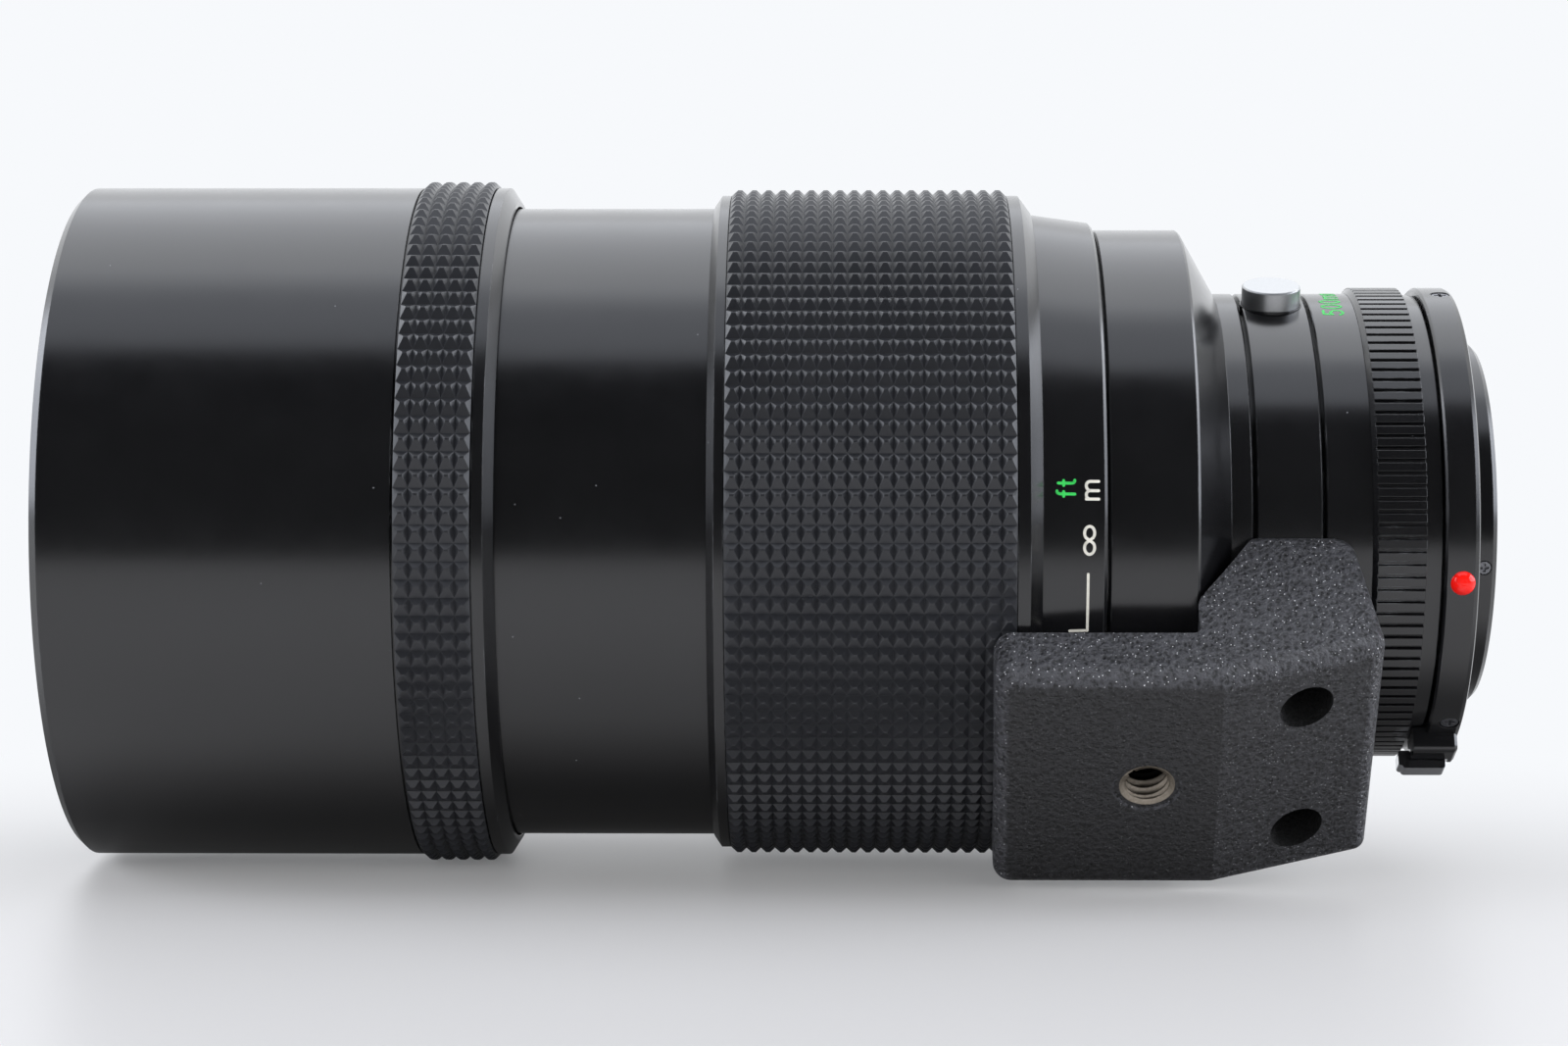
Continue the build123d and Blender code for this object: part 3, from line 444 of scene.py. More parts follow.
matt_paint, tree, shader = finish("matt_black_baffle_paint", "#111112", Roughness=0.72, IOR=1.5)
place = add(tree, "TexCoord").outputs["Object"]
cloud = add(tree, "TexNoise", {"Vector": place, "Scale": 1 / PAINT_GRAIN, "Detail": 4.0})
shade = add(tree, "Mix", {
    "Factor": cloud.outputs["Fac"], 6: linear("#0c0c0d"), 7: linear("#18181a"),
}, data_type="RGBA")
tooth = add(tree, "Bump", {
    "Height": cloud.outputs["Fac"], "Strength": 0.4, "Distance": PAINT_TOOTH,
})
tree.links.new(shade.outputs[2], shader.inputs["Base Color"])
tree.links.new(tooth.outputs[0], shader.inputs["Normal"])
FINISHES["inner_matt_black"] = matt_paint
print("matt paint grain", PAINT_GRAIN / MM, "mm")

# %% [markdown]
# ## Moulded rubber
# The grips are black rubber pressed in a polished mould, then dulled by years of hands.
# Rubber is never as dark as the metal beside it: it is charcoal, with a broad soft
# shine that makes each facet of a pyramid a flat light or dark patch of its own.
# %% Moulded rubber
RUBBER_GRAIN = 0.16 * MM
RUBBER_PORE_DEPTH = 0.012 * MM
RUBBER_ROUNDING = 0.06 * MM
HANDLED_PATCH = 14 * MM
RUBBER_SHINE = (0.26, 0.36)

rubber, tree, shader = finish("moulded_charcoal_rubber", "#242529", Roughness=0.38, IOR=1.55)
place = add(tree, "TexCoord").outputs["Object"]
pores = add(tree, "TexNoise", {"Vector": place, "Scale": 1 / RUBBER_GRAIN, "Detail": 3.0})
patches = add(tree, "TexNoise", {"Vector": place, "Scale": 1 / HANDLED_PATCH, "Detail": 3.0})
bloom = add(tree, "Mix", {
    "Factor": patches.outputs["Fac"], 6: linear("#1b1c1f"), 7: linear("#25262a"),
}, data_type="RGBA")
handled = add(tree, "MapRange", {
    "Value": patches.outputs["Fac"], "From Min": NOISE_RANGE[0], "From Max": NOISE_RANGE[1],
    "To Min": RUBBER_SHINE[0], "To Max": RUBBER_SHINE[1],
})
rounded = add(tree, "Bevel", {"Radius": RUBBER_ROUNDING}, samples=4)
skin = add(tree, "Bump", {
    "Height": pores.outputs["Fac"], "Normal": rounded.outputs["Normal"],
    "Strength": 0.35, "Distance": RUBBER_PORE_DEPTH,
})
tree.links.new(bloom.outputs[2], shader.inputs["Base Color"])
tree.links.new(handled.outputs[0], shader.inputs["Roughness"])
tree.links.new(skin.outputs[0], shader.inputs["Normal"])
FINISHES["grip_rubber"] = rubber
print("rubber grain", RUBBER_GRAIN / MM, "mm")

# %% [markdown]
# ## Wrinkle paint
# The tripod foot is an aluminium casting in wrinkle paint: a thick baking enamel whose
# skin shrinks faster than its body and crawls into tiny folds. Its base has been rubbed
# smoother, and its two deep screw wells get painted shade. The imported model says
# where they are: the bush points straight down through the base, and the middle of each
# screw's own points lies on the axis of its well.
# %% Where the foot's base and its screw wells are
lo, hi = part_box("tripod_bush")
bush_centre = (lo + hi) / 2
foot_down = Vector((0, bush_centre.y, bush_centre.z)).normalized()
across_foot = Vector((0, -foot_down.z, foot_down.y))
screw_points = [v.co for v in frame["nodes"]["foot_screws"].data.vertices]
wells = []
for side in (-1, 1):
    on_side = [point for point in screw_points if side * point.dot(across_foot) > 0]
    wells.append(sum(on_side, Vector()) / len(on_side))
print("wells at x", [round(well.x / MM, 2) for well in wells], "mm")

# %% [markdown]
# The folds are about three quarters of a millimetre apart. A cell texture gives one
# cushion for each fold. Its coordinates are pushed about by a noise, which makes the
# cushions crawl, and a finer noise roughens them.
# %% Folds of the wrinkle paint
WRINKLE = 0.75 * MM
WRINKLE_DEPTH = 0.60 * MM
DRIFT_SPACING = 0.9 * MM
DRIFT_REACH = 0.55 * MM
FINE_SPACING = 0.3 * MM
BASE_TURN = (0.90, 0.99)               # cosine to the base, from its rounded edge to its flat
BASE_SMOOTHNESS = 0.6                  # what the folds keep of their depth on the base

wrinkle, tree, shader = finish("black_wrinkle_baking_enamel", "#28282b", IOR=1.52)
coordinates = add(tree, "TexCoord")
place = coordinates.outputs["Object"]
drift = add(tree, "TexNoise", {"Vector": place, "Scale": 1 / DRIFT_SPACING, "Detail": 2.0})
wander = add(tree, "VectorMath", {0: drift.outputs["Color"], "Scale": DRIFT_REACH},
             operation="SCALE")
pushed = add(tree, "VectorMath", {0: place, 1: wander.outputs[0]}, operation="ADD")
folds = add(tree, "TexVoronoi", {
    "Vector": pushed.outputs[0], "Scale": 1 / WRINKLE, "Smoothness": 0.6,
}, feature="SMOOTH_F1")
fine = add(tree, "TexNoise", {"Vector": place, "Scale": 1 / FINE_SPACING, "Detail": 3.0})
height = add(tree, "Math", {0: folds.outputs["Distance"], 1: fine.outputs["Fac"]},
             operation="ADD")
on_base = add(tree, "VectorMath", {0: coordinates.outputs["Normal"], 1: foot_down},
              operation="DOT_PRODUCT")
smoother = add(tree, "MapRange", {
    "Value": on_base.outputs["Value"], "From Min": BASE_TURN[0], "From Max": BASE_TURN[1],
    "To Min": 1.0, "To Max": BASE_SMOOTHNESS,
}, interpolation_type="SMOOTHSTEP")
crawl = add(tree, "Bump", {
    "Height": height.outputs[0], "Strength": smoother.outputs[0], "Distance": WRINKLE_DEPTH,
})
tree.links.new(crawl.outputs[0], shader.inputs["Normal"])
print("wrinkles", WRINKLE / MM, "mm apart")

# %% [markdown]
# The folds' light and shade are painted too: crests paler than valleys. A second cell
# texture paints a bright glint in more than half of its cells, whichever way they face.
# The base is painted darker than the sides, as shade on a face that looks down.
# %% Painted shading and glints of the wrinkle paint
PAINTED_FOLD_SHADE = (0.6, 1.1)                     # the height from valley to crest
PAINTED_GLINT_SPACING = 0.48 * MM
PAINTED_GLINT_SIZE = (0.18, 0.10)              # from the edge of a fleck inwards, in spacings
WITHOUT_PAINTED_GLINT = 0.4                    # share of the cells
BASE_PAINTED_SHADE = 0.8

painted_glint_cells = add(tree, "TexVoronoi", {"Vector": place, "Scale": 1 / PAINTED_GLINT_SPACING})
painted_glint = add(tree, "MapRange", {
    "Value": painted_glint_cells.outputs["Distance"], "From Min": PAINTED_GLINT_SIZE[0], "From Max": PAINTED_GLINT_SIZE[1],
})
lot = add(tree, "SeparateColor", {"Color": painted_glint_cells.outputs["Color"]})
painted_glint_chosen = add(tree, "Math", {0: lot.outputs["Red"], 1: WITHOUT_PAINTED_GLINT}, operation="GREATER_THAN")
painted_glint_fleck = add(tree, "Math", {0: painted_glint.outputs[0], 1: painted_glint_chosen.outputs[0]}, operation="MULTIPLY")
painted_glint_fleck = add(tree, "Math", {0: painted_glint_fleck.outputs[0], 1: smoother.outputs[0]}, operation="MULTIPLY")
fold_light_and_shade = add(tree, "MapRange", {
    "Value": height.outputs[0], "From Min": PAINTED_FOLD_SHADE[0], "From Max": PAINTED_FOLD_SHADE[1],
})
# painted light and shade: crests take the pale colour, valleys the dark one
tone = add(tree, "Mix", {
    "Factor": fold_light_and_shade.outputs[0], 6: linear("#19191a"), 7: linear("#454549"),
}, data_type="RGBA")
# painted glints: near-white flecks, whatever the light
with_painted_glints = add(tree, "Mix", {
    "Factor": painted_glint_fleck.outputs[0], 6: tone.outputs[2], 7: linear("#f2f3f6"),
}, data_type="RGBA")
# painted shade: the base faces down and is coloured darker
painted_base_shade = add(tree, "MapRange", {
    "Value": on_base.outputs["Value"], "From Min": BASE_TURN[0], "From Max": BASE_TURN[1],
    "To Min": 0.0, "To Max": BASE_PAINTED_SHADE,
}, interpolation_type="SMOOTHSTEP")
enamel = add(tree, "Mix", {
    "Factor": painted_base_shade.outputs[0], 6: with_painted_glints.outputs[2], 7: linear("#121213"),
}, data_type="RGBA")
print("glints", PAINTED_GLINT_SPACING / MM, "mm apart")

# %% [markdown]
# The wells are deep, so their shade is painted in: whatever lies nearer to a screw's
# axis than the well's radius is painted black and dull. The distance from a line is the
# length of a cross product with its direction.
# %% Painted shade in the screw wells
WELL_RADIUS = 3.40 * MM
# the painted shade begins between these two distances outside the radius
WELL_SHADE_EDGE = (0.04 * MM, 0.01 * MM)     # the paint ends between these two, outside the radius
FOLD_SHINE = (0.22, 0.40)

reaches = []
for well in wells:
    offset = add(tree, "VectorMath", {0: place, 1: well}, operation="SUBTRACT")
    off_axis = add(tree, "VectorMath", {0: offset.outputs[0], 1: foot_down},
                   operation="CROSS_PRODUCT")
    reach = add(tree, "VectorMath", {0: off_axis.outputs[0]}, operation="LENGTH")
    reaches.append(reach.outputs["Value"])
nearest = add(tree, "Math", {0: reaches[0], 1: reaches[1]}, operation="MINIMUM")
painted_well_shade = add(tree, "MapRange", {
    "Value": nearest.outputs[0],
    "From Min": WELL_RADIUS + WELL_SHADE_EDGE[0], "From Max": WELL_RADIUS + WELL_SHADE_EDGE[1],
})
# painted shade: the wells are coloured near black
skin = add(tree, "Mix", {
    "Factor": painted_well_shade.outputs[0], 6: enamel.outputs[2], 7: linear("#050505"),
}, data_type="RGBA")
sheen = add(tree, "MapRange", {
    "Value": fine.outputs["Fac"], "To Min": FOLD_SHINE[0], "To Max": FOLD_SHINE[1],
})
dulled = add(tree, "Math", {0: sheen.outputs[0], 1: painted_well_shade.outputs[0]}, operation="MAXIMUM")
tree.links.new(skin.outputs[2], shader.inputs["Base Color"])
tree.links.new(dulled.outputs[0], shader.inputs["Roughness"])
FINISHES["wrinkle_paint"] = wrinkle
print("wells", 2 * WELL_RADIUS / MM, "mm wide")

# %% [markdown]
# ## Bare metals
# A metal's colour is its reflection, so each of these has metallic 1 and the default
# index, and differs only in tint and in how its surface was made. Turned and brushed
# parts get fine marks as a bump, each drawn a little coarser than the tool left it so
# that it shows.
# %% Bare metals
METAL_ROUNDING = 0.12 * MM
METALS = {
    # slot: (material, colour, darker colour, roughness, mark spacing in mm, mark depth in mm)
    "polished_silver":
        ("satin_chromed_brass_button", "#bdbebf", "#b0b1b2", 0.36, 0.30, 0.0006),
    "chrome":
        ("polished_chrome_plate", "#d8dadd", "#b9bbbf", 0.10, 1.20, 0.0010),
    "insert_steel":
        ("worn_nickel_plated_steel", "#bdb3a5", "#6f665a", 0.36, 0.35, 0.0120),
    "bayonet_steel":
        ("ground_stainless_steel", "#bcbcba", "#9d9d9b", 0.22, 0.25, 0.0020),
    "spring_steel":
        ("drawn_spring_steel_wire", "#8f9093", "#6a6b6e", 0.28, 0.30, 0.0020),
    "brass":
        ("machined_brass", "#c9a45c", "#a8823f", 0.26, 0.30, 0.0020),
    "dark_screw":
        ("worn_black_oxided_steel_screw", "#9a9b9f", "#6c6d71", 0.42, 0.30, 0.0040),
}
for slot, (name, colour, darker, roughness, spacing, depth) in METALS.items():
    metal, tree, shader = finish(name, colour, Metallic=1.0, Roughness=roughness)
    place = add(tree, "TexCoord").outputs["Object"]
    rounded = add(tree, "Bevel", {"Radius": METAL_ROUNDING}, samples=4)
    tool = add(tree, "TexNoise", {"Vector": place, "Scale": 1 / (spacing * MM), "Detail": 3.0})
    tarnish = add(tree, "Mix", {
        "Factor": tool.outputs["Fac"], 6: linear(darker), 7: linear(colour),
    }, data_type="RGBA")
    cut = add(tree, "Bump", {
        "Height": tool.outputs["Fac"], "Normal": rounded.outputs["Normal"],
        "Strength": 0.5, "Distance": depth * MM,
    })
    tree.links.new(tarnish.outputs[2], shader.inputs["Base Color"])
    tree.links.new(cut.outputs[0], shader.inputs["Normal"])
    FINISHES[slot] = metal
    print(slot, "roughness", roughness)

# %% [markdown]
# ## Glass and mirrors
# The corrector plate and the rear lenses are crown glass with a coating that kills
# reflections and leaves a faint violet. The mirrors are aluminium laid on glass in a
# vacuum. Both are so smooth that their only texture is the odd mote of dust.
# %% Glass and mirror coating
FILM_THICKNESS = 110.0                 # of the coating, in nanometres
FILM_INDEX = 1.38
MOTE_SIZE = (0.03, 0.01)               # from the edge of a mote inwards, in spacings
SMOOTH = {
    # slot: (finish, mote spacing in mm, roughness of the clean surface and of a mote)
    "optical_glass": (
        finish("coated_crown_glass", "#f4f6f7", Roughness=0.0, IOR=1.52, Transmission_Weight=1.0,
               Thin_Film_Thickness=FILM_THICKNESS, Thin_Film_IOR=FILM_INDEX), 3.5, 0.01, 0.5),
    "mirror_coating": (
        finish("vacuum_coated_aluminium_mirror", "#e6e8ea", Metallic=1.0, Roughness=0.02),
        3.0, 0.02, 0.4),
}
for slot, ((made, tree, shader), spacing, clean, dusty) in SMOOTH.items():
    place = add(tree, "TexCoord").outputs["Object"]
    motes = add(tree, "TexVoronoi", {"Vector": place, "Scale": 1 / (spacing * MM)})
    mote = add(tree, "MapRange", {
        "Value": motes.outputs["Distance"], "From Min": MOTE_SIZE[0], "From Max": MOTE_SIZE[1],
        "To Min": clean, "To Max": dusty,
    })
    tree.links.new(mote.outputs[0], shader.inputs["Roughness"])
    FINISHES[slot] = made
    print(slot, "with motes", spacing, "mm apart")

# %% [markdown]
# ## Flock and enamel
# The hood is lined with flock, short nylon fibres standing in glue, which drinks light
# and shows only a faint velvet edge. The index bead is a drop of red enamel, thick
# enough to stand up from the ring and glossy enough to mirror the lamp.
# %% Flock lining and red enamel
FIBRE = 0.4 * MM
NAP_DEPTH = 0.15 * MM
ENAMEL_POOL = 1.5 * MM

flock, tree, shader = finish("black_nylon_flock", "#0c0c0d", Roughness=0.95, IOR=1.5,
                             Sheen_Weight=0.10, Sheen_Roughness=0.5)
place = add(tree, "TexCoord").outputs["Object"]
fibres = add(tree, "TexNoise", {
    "Vector": place, "Scale": 1 / FIBRE, "Detail": 5.0, "Roughness": 0.8,
})
pile = add(tree, "Mix", {
    "Factor": fibres.outputs["Fac"], 6: linear("#040404"), 7: linear("#0f0f10"),
}, data_type="RGBA")
nap = add(tree, "Bump", {"Height": fibres.outputs["Fac"], "Strength": 1.0, "Distance": NAP_DEPTH})
tree.links.new(pile.outputs[2], shader.inputs["Base Color"])
tree.links.new(nap.outputs[0], shader.inputs["Normal"])
FINISHES["flock"] = flock

enamel, tree, shader = finish("glossy_red_enamel", "#f0160e", Roughness=0.10, IOR=1.5)
place = add(tree, "TexCoord").outputs["Object"]
pooled = add(tree, "TexNoise", {"Vector": place, "Scale": 1 / ENAMEL_POOL, "Detail": 2.0})
depth = add(tree, "Mix", {
    "Factor": pooled.outputs["Fac"], 6: linear("#ea120b"), 7: linear("#fb2018"),
}, data_type="RGBA")
tree.links.new(depth.outputs[2], shader.inputs["Base Color"])
FINISHES["red_enamel"] = enamel
print("finishes:", sorted(FINISHES))

# %% [markdown]
# ## Handing out the finishes
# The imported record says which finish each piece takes, so no list is typed again here.
# %% Handing out the finishes
for part in frame["record"]["subparts"]:
    carried = frame["nodes"][part["node"]]
    carried.data.materials.clear()
    carried.data.materials.append(FINISHES[part["material_slot"]])

# %% [markdown]
# ## Moulded grips
# Both grips are rubber sleeves covered with rows of small pyramids. A bump map could
# fake them from the front, but the outline of the grip would stay a smooth circle, and
# the humps along the top edge are what tells the eye "rubber". So every pyramid is real
# mesh: a plain wall towards each neighbour round the ring, and towards each neighbour
# along the axis a flank that is creased in the middle, steep at its foot and flatter
# above. The tip is a short blunt ridge, nearer to the upper edge of its cell.
# %% Moulded grips
FOCUS_COLUMNS, FOCUS_ROWS = 19, 124
HOOD_COLUMNS, HOOD_ROWS = 5, 124
FIRST_ROW = math.radians(-0.5)       # below the middle of the photographer's side
PYRAMID_HEIGHT = 0.62 * MM
RUBBER_WALL = 0.76 * MM
TIP_ACROSS = (0.37, 0.65)             # edges of the tip along the axis, in cells
TIP_AROUND = (0.32, 0.41)             # and round the ring, where 0 is the cell's upper edge
CREASE_ACROSS = (0.18, 0.82)          # the point in each flank where it bends
CREASE_AROUND = 0.38
CREASE_SHARE = 0.44                   # and its share of the pyramid's height


def on_ring(along, below, radius):
    """A point by its place on the axis, its angle below the photographer's side, its radius."""
    return (along, -radius * math.cos(below), -radius * math.sin(below))


print("pyramids", PYRAMID_HEIGHT / MM, "mm high, in rows of", FOCUS_ROWS, "round the ring")

# %% [markdown]
# A sleeve is one closed mesh: a net of valley points, a pyramid standing in each cell of
# the net, a smooth bore inside, and a flat wall at each end that joins the two.
# %% The two sleeves
def moulded_sleeve(name, node, columns, rows):
    """A closed rubber sleeve of pyramids in the space of the CAD node that it replaces."""
    lo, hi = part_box(node)
    peak = hi.y
    valley = peak - PYRAMID_HEIGHT
    pitch = (hi.x - lo.x) / columns
    step = 2 * math.pi / rows
    points, faces = [], []
    for row in range(rows):
        for column in range(columns + 1):
            points.append(on_ring(lo.x + column * pitch, FIRST_ROW + row * step, valley))

    def corner(row, column):
        return (row % rows) * (columns + 1) + column

    def place_in_cell(row, column, across, around, share):
        along = lo.x + (column + across) * pitch
        points.append(on_ring(along, FIRST_ROW + (row + around) * step,
                              valley + share * PYRAMID_HEIGHT))
        return len(points) - 1

    for row in range(rows):
        for column in range(columns):
            feet = [corner(row, column), corner(row, column + 1),
                    corner(row + 1, column + 1), corner(row + 1, column)]
            tip = [place_in_cell(row, column, TIP_ACROSS[a], TIP_AROUND[r], 1.0)
                   for a, r in ((0, 0), (1, 0), (1, 1), (0, 1))]
            faces.append(tuple(tip))
            for i in range(4):
                after = (i + 1) % 4
                wall = (feet[i], feet[after], tip[after], tip[i])
                if i % 2 == 0:
                    faces.append(wall)
                    continue
                across = CREASE_ACROSS[1] if i == 1 else CREASE_ACROSS[0]
                crease = place_in_cell(row, column, across, CREASE_AROUND, CREASE_SHARE)
                faces += [(wall[k], wall[(k + 1) % 4], crease) for k in range(4)]
    bore = len(points)
    for row in range(rows):
        points.append(on_ring(lo.x, FIRST_ROW + row * step, valley - RUBBER_WALL))
        points.append(on_ring(hi.x, FIRST_ROW + row * step, valley - RUBBER_WALL))
    for row in range(rows):
        here, after = bore + 2 * row, bore + 2 * ((row + 1) % rows)
        faces.append((here, after, after + 1, here + 1))
        faces.append((corner(row, 0), corner(row + 1, 0), after, here))
        faces.append((corner(row + 1, columns), corner(row, columns), here + 1, after + 1))
    mesh = bpy.data.meshes.new(name)
    mesh.from_pydata(points, [], faces)
    mesh.validate()
    mesh.materials.append(FINISHES["grip_rubber"])
    sleeve = bpy.data.objects.new(name, mesh)
    scene.collection.objects.link(sleeve)
    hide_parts(node)
    print(name, columns, "x", rows, "pyramids, pitch", round(pitch / MM, 2), "mm")
    return sleeve


focus_sleeve = moulded_sleeve("focus_grip_moulding", "focus_grip", FOCUS_COLUMNS, FOCUS_ROWS)
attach(focus_sleeve, "focus_ring")
hood_sleeve = moulded_sleeve("hood_grip_moulding", "hood_grip", HOOD_COLUMNS, HOOD_ROWS)
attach(hood_sleeve, "hood")

# %% [markdown]
# ## Engraved marks
# The numbers are cut with a small round cutter that follows each letter's middle line,
# then filled with paint. So each letter here is a line too: a few short strokes, drawn
# as a ribbon with round ends and wrapped on its ring. A ready-made outline font would
# have square ends and thick-and-thin strokes, which no engraver leaves.
# %% Paint for the marks
PAINT_CLOUD = 0.4 * MM
DULL_SHARE = 0.78


def paint(name, colour):
    """Filler paint rubbed into an engraved line: matt, faintly uneven."""
    made, tree, shader = finish(name, colour, Roughness=0.45, IOR=1.5)
    place = add(tree, "TexCoord").outputs["Object"]
    cloud = add(tree, "TexNoise", {"Vector": place, "Scale": 1 / PAINT_CLOUD, "Detail": 2.0})
    bright = linear(colour)
    dull = (*[c * DULL_SHARE for c in bright[:3]], 1.0)
    tone = add(tree, "Mix", {"Factor": cloud.outputs["Fac"], 6: dull, 7: bright}, data_type="RGBA")
    tree.links.new(tone.outputs[2], shader.inputs["Base Color"])
    return made


PAINTS = {
    "white": paint("bone_white_filler_paint", "#e4e0d4"),
    "green": paint("bright_green_filler_paint", "#22d653"),
}
print("paints:", sorted(PAINTS))

# %% [markdown]
# Each glyph is written on a square grid one letter high. `arc` gives the round parts,
# so a 3 is two arcs and a 7 is three points.
# %% Stroke letters
def arc(x, y, wide, high, start, end):
    """Points on an ellipse round (x, y) from one angle to another, in degrees."""
    count = max(4, round(abs(end - start) / 15))
    angles = [math.radians(start + (end - start) * i / count) for i in range(count + 1)]
    return [(x + wide * math.cos(a), y + high * math.sin(a)) for a in angles]


GLYPHS = {
    "0": (0.62, [arc(0.31, 0.5, 0.27, 0.5, 90, 450)]),
    "1": (0.42, [[(0.10, 0.80), (0.27, 1.0), (0.27, 0.0)]]),
    "2": (0.62, [arc(0.31, 0.72, 0.26, 0.28, 165, -35) + [(0.06, 0.0), (0.58, 0.0)]]),
    "3": (0.62, [arc(0.30, 0.76, 0.23, 0.24, 160, -80),
                 arc(0.30, 0.27, 0.27, 0.27, 88, -155)]),
    "4": (0.64, [[(0.46, 0.0), (0.46, 1.0), (0.04, 0.28), (0.62, 0.28)]]),
    "5": (0.64, [[(0.57, 1.0), (0.12, 1.0), (0.06, 0.54)]
                 + arc(0.30, 0.32, 0.30, 0.32, 130, -150)]),
    "6": (0.62, [arc(0.31, 0.30, 0.26, 0.30, 90, 450),
                 arc(0.62, 0.34, 0.57, 0.66, 100, 180)]),
    "7": (0.58, [[(0.05, 1.0), (0.54, 1.0), (0.22, 0.0)]]),
    "8": (0.62, [arc(0.31, 0.76, 0.22, 0.24, -90, 270),
                 arc(0.31, 0.27, 0.27, 0.27, 90, 450)]),
    ".": (0.24, [[(0.10, 0.02), (0.12, 0.02)]]),
    "f": (0.42, [arc(0.34, 0.80, 0.14, 0.20, 80, 180) + [(0.20, 0.0)],
                 [(0.07, 0.62), (0.33, 0.62)]]),
    "t": (0.44, [[(0.22, 0.92), (0.22, 0.18)] + arc(0.36, 0.18, 0.14, 0.18, 180, 280),
                 [(0.09, 0.62), (0.36, 0.62)]]),
    "m": (1.08, [[(0.06, 0.66), (0.06, 0.0)],
                 [(0.06, 0.5)] + arc(0.28, 0.44, 0.22, 0.22, 150, 0) + [(0.50, 0.0)],
                 [(0.50, 0.5)] + arc(0.75, 0.44, 0.24, 0.22, 150, 0) + [(0.99, 0.0)]]),
    "infinity": (1.20, [arc(0.31, 0.26, 0.26, 0.20, 42, 318)
                        + arc(0.89, 0.26, 0.26, 0.20, 138, -138)
                        + arc(0.31, 0.26, 0.26, 0.20, 42, 60)]),
}
print("glyphs:", " ".join(GLYPHS))

# %% [markdown]
# A ribbon follows a stroke, and a small disc rounds each end and each bend. Everything
# is first laid out flat, in millimetres, then wrapped on the ring: reading upwards
# means going round the ring, and the letters' tops point to the front of the lens. A
# Solidify modifier then gives the paint its body, most of it sunk in the metal.
# %% Wrapping strokes on a ring
PAINT_PROUD = 0.02 * MM
PAINT_BODY = 0.06 * MM
DISC_STEPS = 12


def ribbon(points, half, verts, faces):
    """Adds a flat ribbon with round ends along the points, which are (x, y) in millimetres."""
    runs = [(Vector(b) - Vector(a)) for a, b in zip(points, points[1:])]
    for i, run in enumerate(runs):
        start, end = Vector(points[i]), Vector(points[i + 1])
        side = Vector((-run.y, run.x)).normalized() * half
        base = len(verts)
        verts += [start + side, start - side, end - side, end + side]
        faces.append((base, base + 1, base + 2, base + 3))
    for centre in map(Vector, points):
        base = len(verts)
        angles = [2 * math.pi * i / DISC_STEPS for i in range(DISC_STEPS)]
        verts += [centre + Vector((math.cos(a), math.sin(a))) * half for a in angles]
        faces.append(tuple(range(base, base + DISC_STEPS)))


def engraved(name, strokes, stroke_mm, along_mm, below_deg, radius_at, colour, body):
    """Wraps strokes on a ring. The strokes' (0, 0) lies at along_mm and below_deg."""
    flat, faces = [], []
    for stroke in strokes:
        ribbon(stroke, stroke_mm / 2, flat, faces)
    points = []
    for x, y in flat:
        along = along_mm - y
        radius = radius_at(along)
        below = math.radians(below_deg) - x / radius
        points.append(on_ring(along * MM, below, radius * MM + PAINT_PROUD))
    mesh = bpy.data.meshes.new(name)
    mesh.from_pydata(points, [], faces)
    mesh.materials.append(PAINTS[colour])
    made = bpy.data.objects.new(name, mesh)
    scene.collection.objects.link(made)
    solid = made.modifiers.new("body", "SOLIDIFY")
    solid.thickness = PAINT_BODY
    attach(made, body)


def lettering(text, height_mm, gap=0.16):
    """Strokes of a word, or of a tuple of glyph names, and its length, in millimetres."""
    strokes, pen = [], 0.0
    for letter in text:
        width, lines = GLYPHS[letter]
        strokes += [[((pen + x) * height_mm, y * height_mm) for x, y in line] for line in lines]
        pen += width + gap
    return strokes, (pen - gap) * height_mm


print("paint stands", PAINT_PROUD / MM, "mm proud")

# %% [markdown]
# ## The distance scale
# Turning the focus ring by 230 degrees takes the lens from infinity to its nearest
# distance of 4 m, and the extension grows as one over the distance. So the numbers sit
# at an angle proportional to one over the distance: crowded near infinity, then wide
# apart. Feet are green and metres white, in two columns, with the infinity sign and its
# long line above the index.
# %% A tapered ring to write on, in millimetres
SCALE_FRONT = (-56.5, 41.7)           # place on the axis and radius, at each end of the cone
SCALE_BACK = (-48.7, 40.6)
STROKE = 0.37

lo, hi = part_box("scale_ring")
print("scale ring from", round(lo.x / MM, 1), "to", round(hi.x / MM, 1), "mm")


def scale_radius(along):
    """Radius of the tapered scale ring at a place on the axis, both in millimetres."""
    share = (along - SCALE_FRONT[0]) / (SCALE_BACK[0] - SCALE_FRONT[0])
    return SCALE_FRONT[1] + share * (SCALE_BACK[1] - SCALE_FRONT[1])


def number(name, text, height, baseline, below, radius_at, colour, body):
    """One number, centred on its angle."""
    strokes, length = lettering(text, height)
    centred = below + math.degrees(length / 2 / radius_at(baseline))
    engraved(name, strokes, STROKE, baseline, centred, radius_at, colour, body)


# %% [markdown]
# Everything on the scale has a baseline, which is a place on the axis in millimetres,
# and an angle below the middle of the photographer's side in degrees.
# %% The marks of the distance scale
DIGIT_HEIGHT = 2.4
FEET_BASELINE = -52.5
METRE_BASELINE = -49.47
INDEX_BELOW = 17.8
NEAREST_M, TURN = 4.0, 230.0
METRES = ("50", "30", "20", "15", "10", "8", "7", "6", "5", "4.5", "4")
FEET = ("150", "100", "70", "50", "40", "30", "25", "20", "17", "15")
FOOT_M = 0.3048
SIGNS = (
    # name, glyphs, height, baseline, angle, colour
    ("feet_word", "ft", 2.27, FEET_BASELINE, -9.8, "green"),
    ("metres_word", "m", 2.4, METRE_BASELINE, -9.6, "white"),
    ("infinity_sign", ("infinity",), 3.2, -49.80, -0.7, "white"),
)

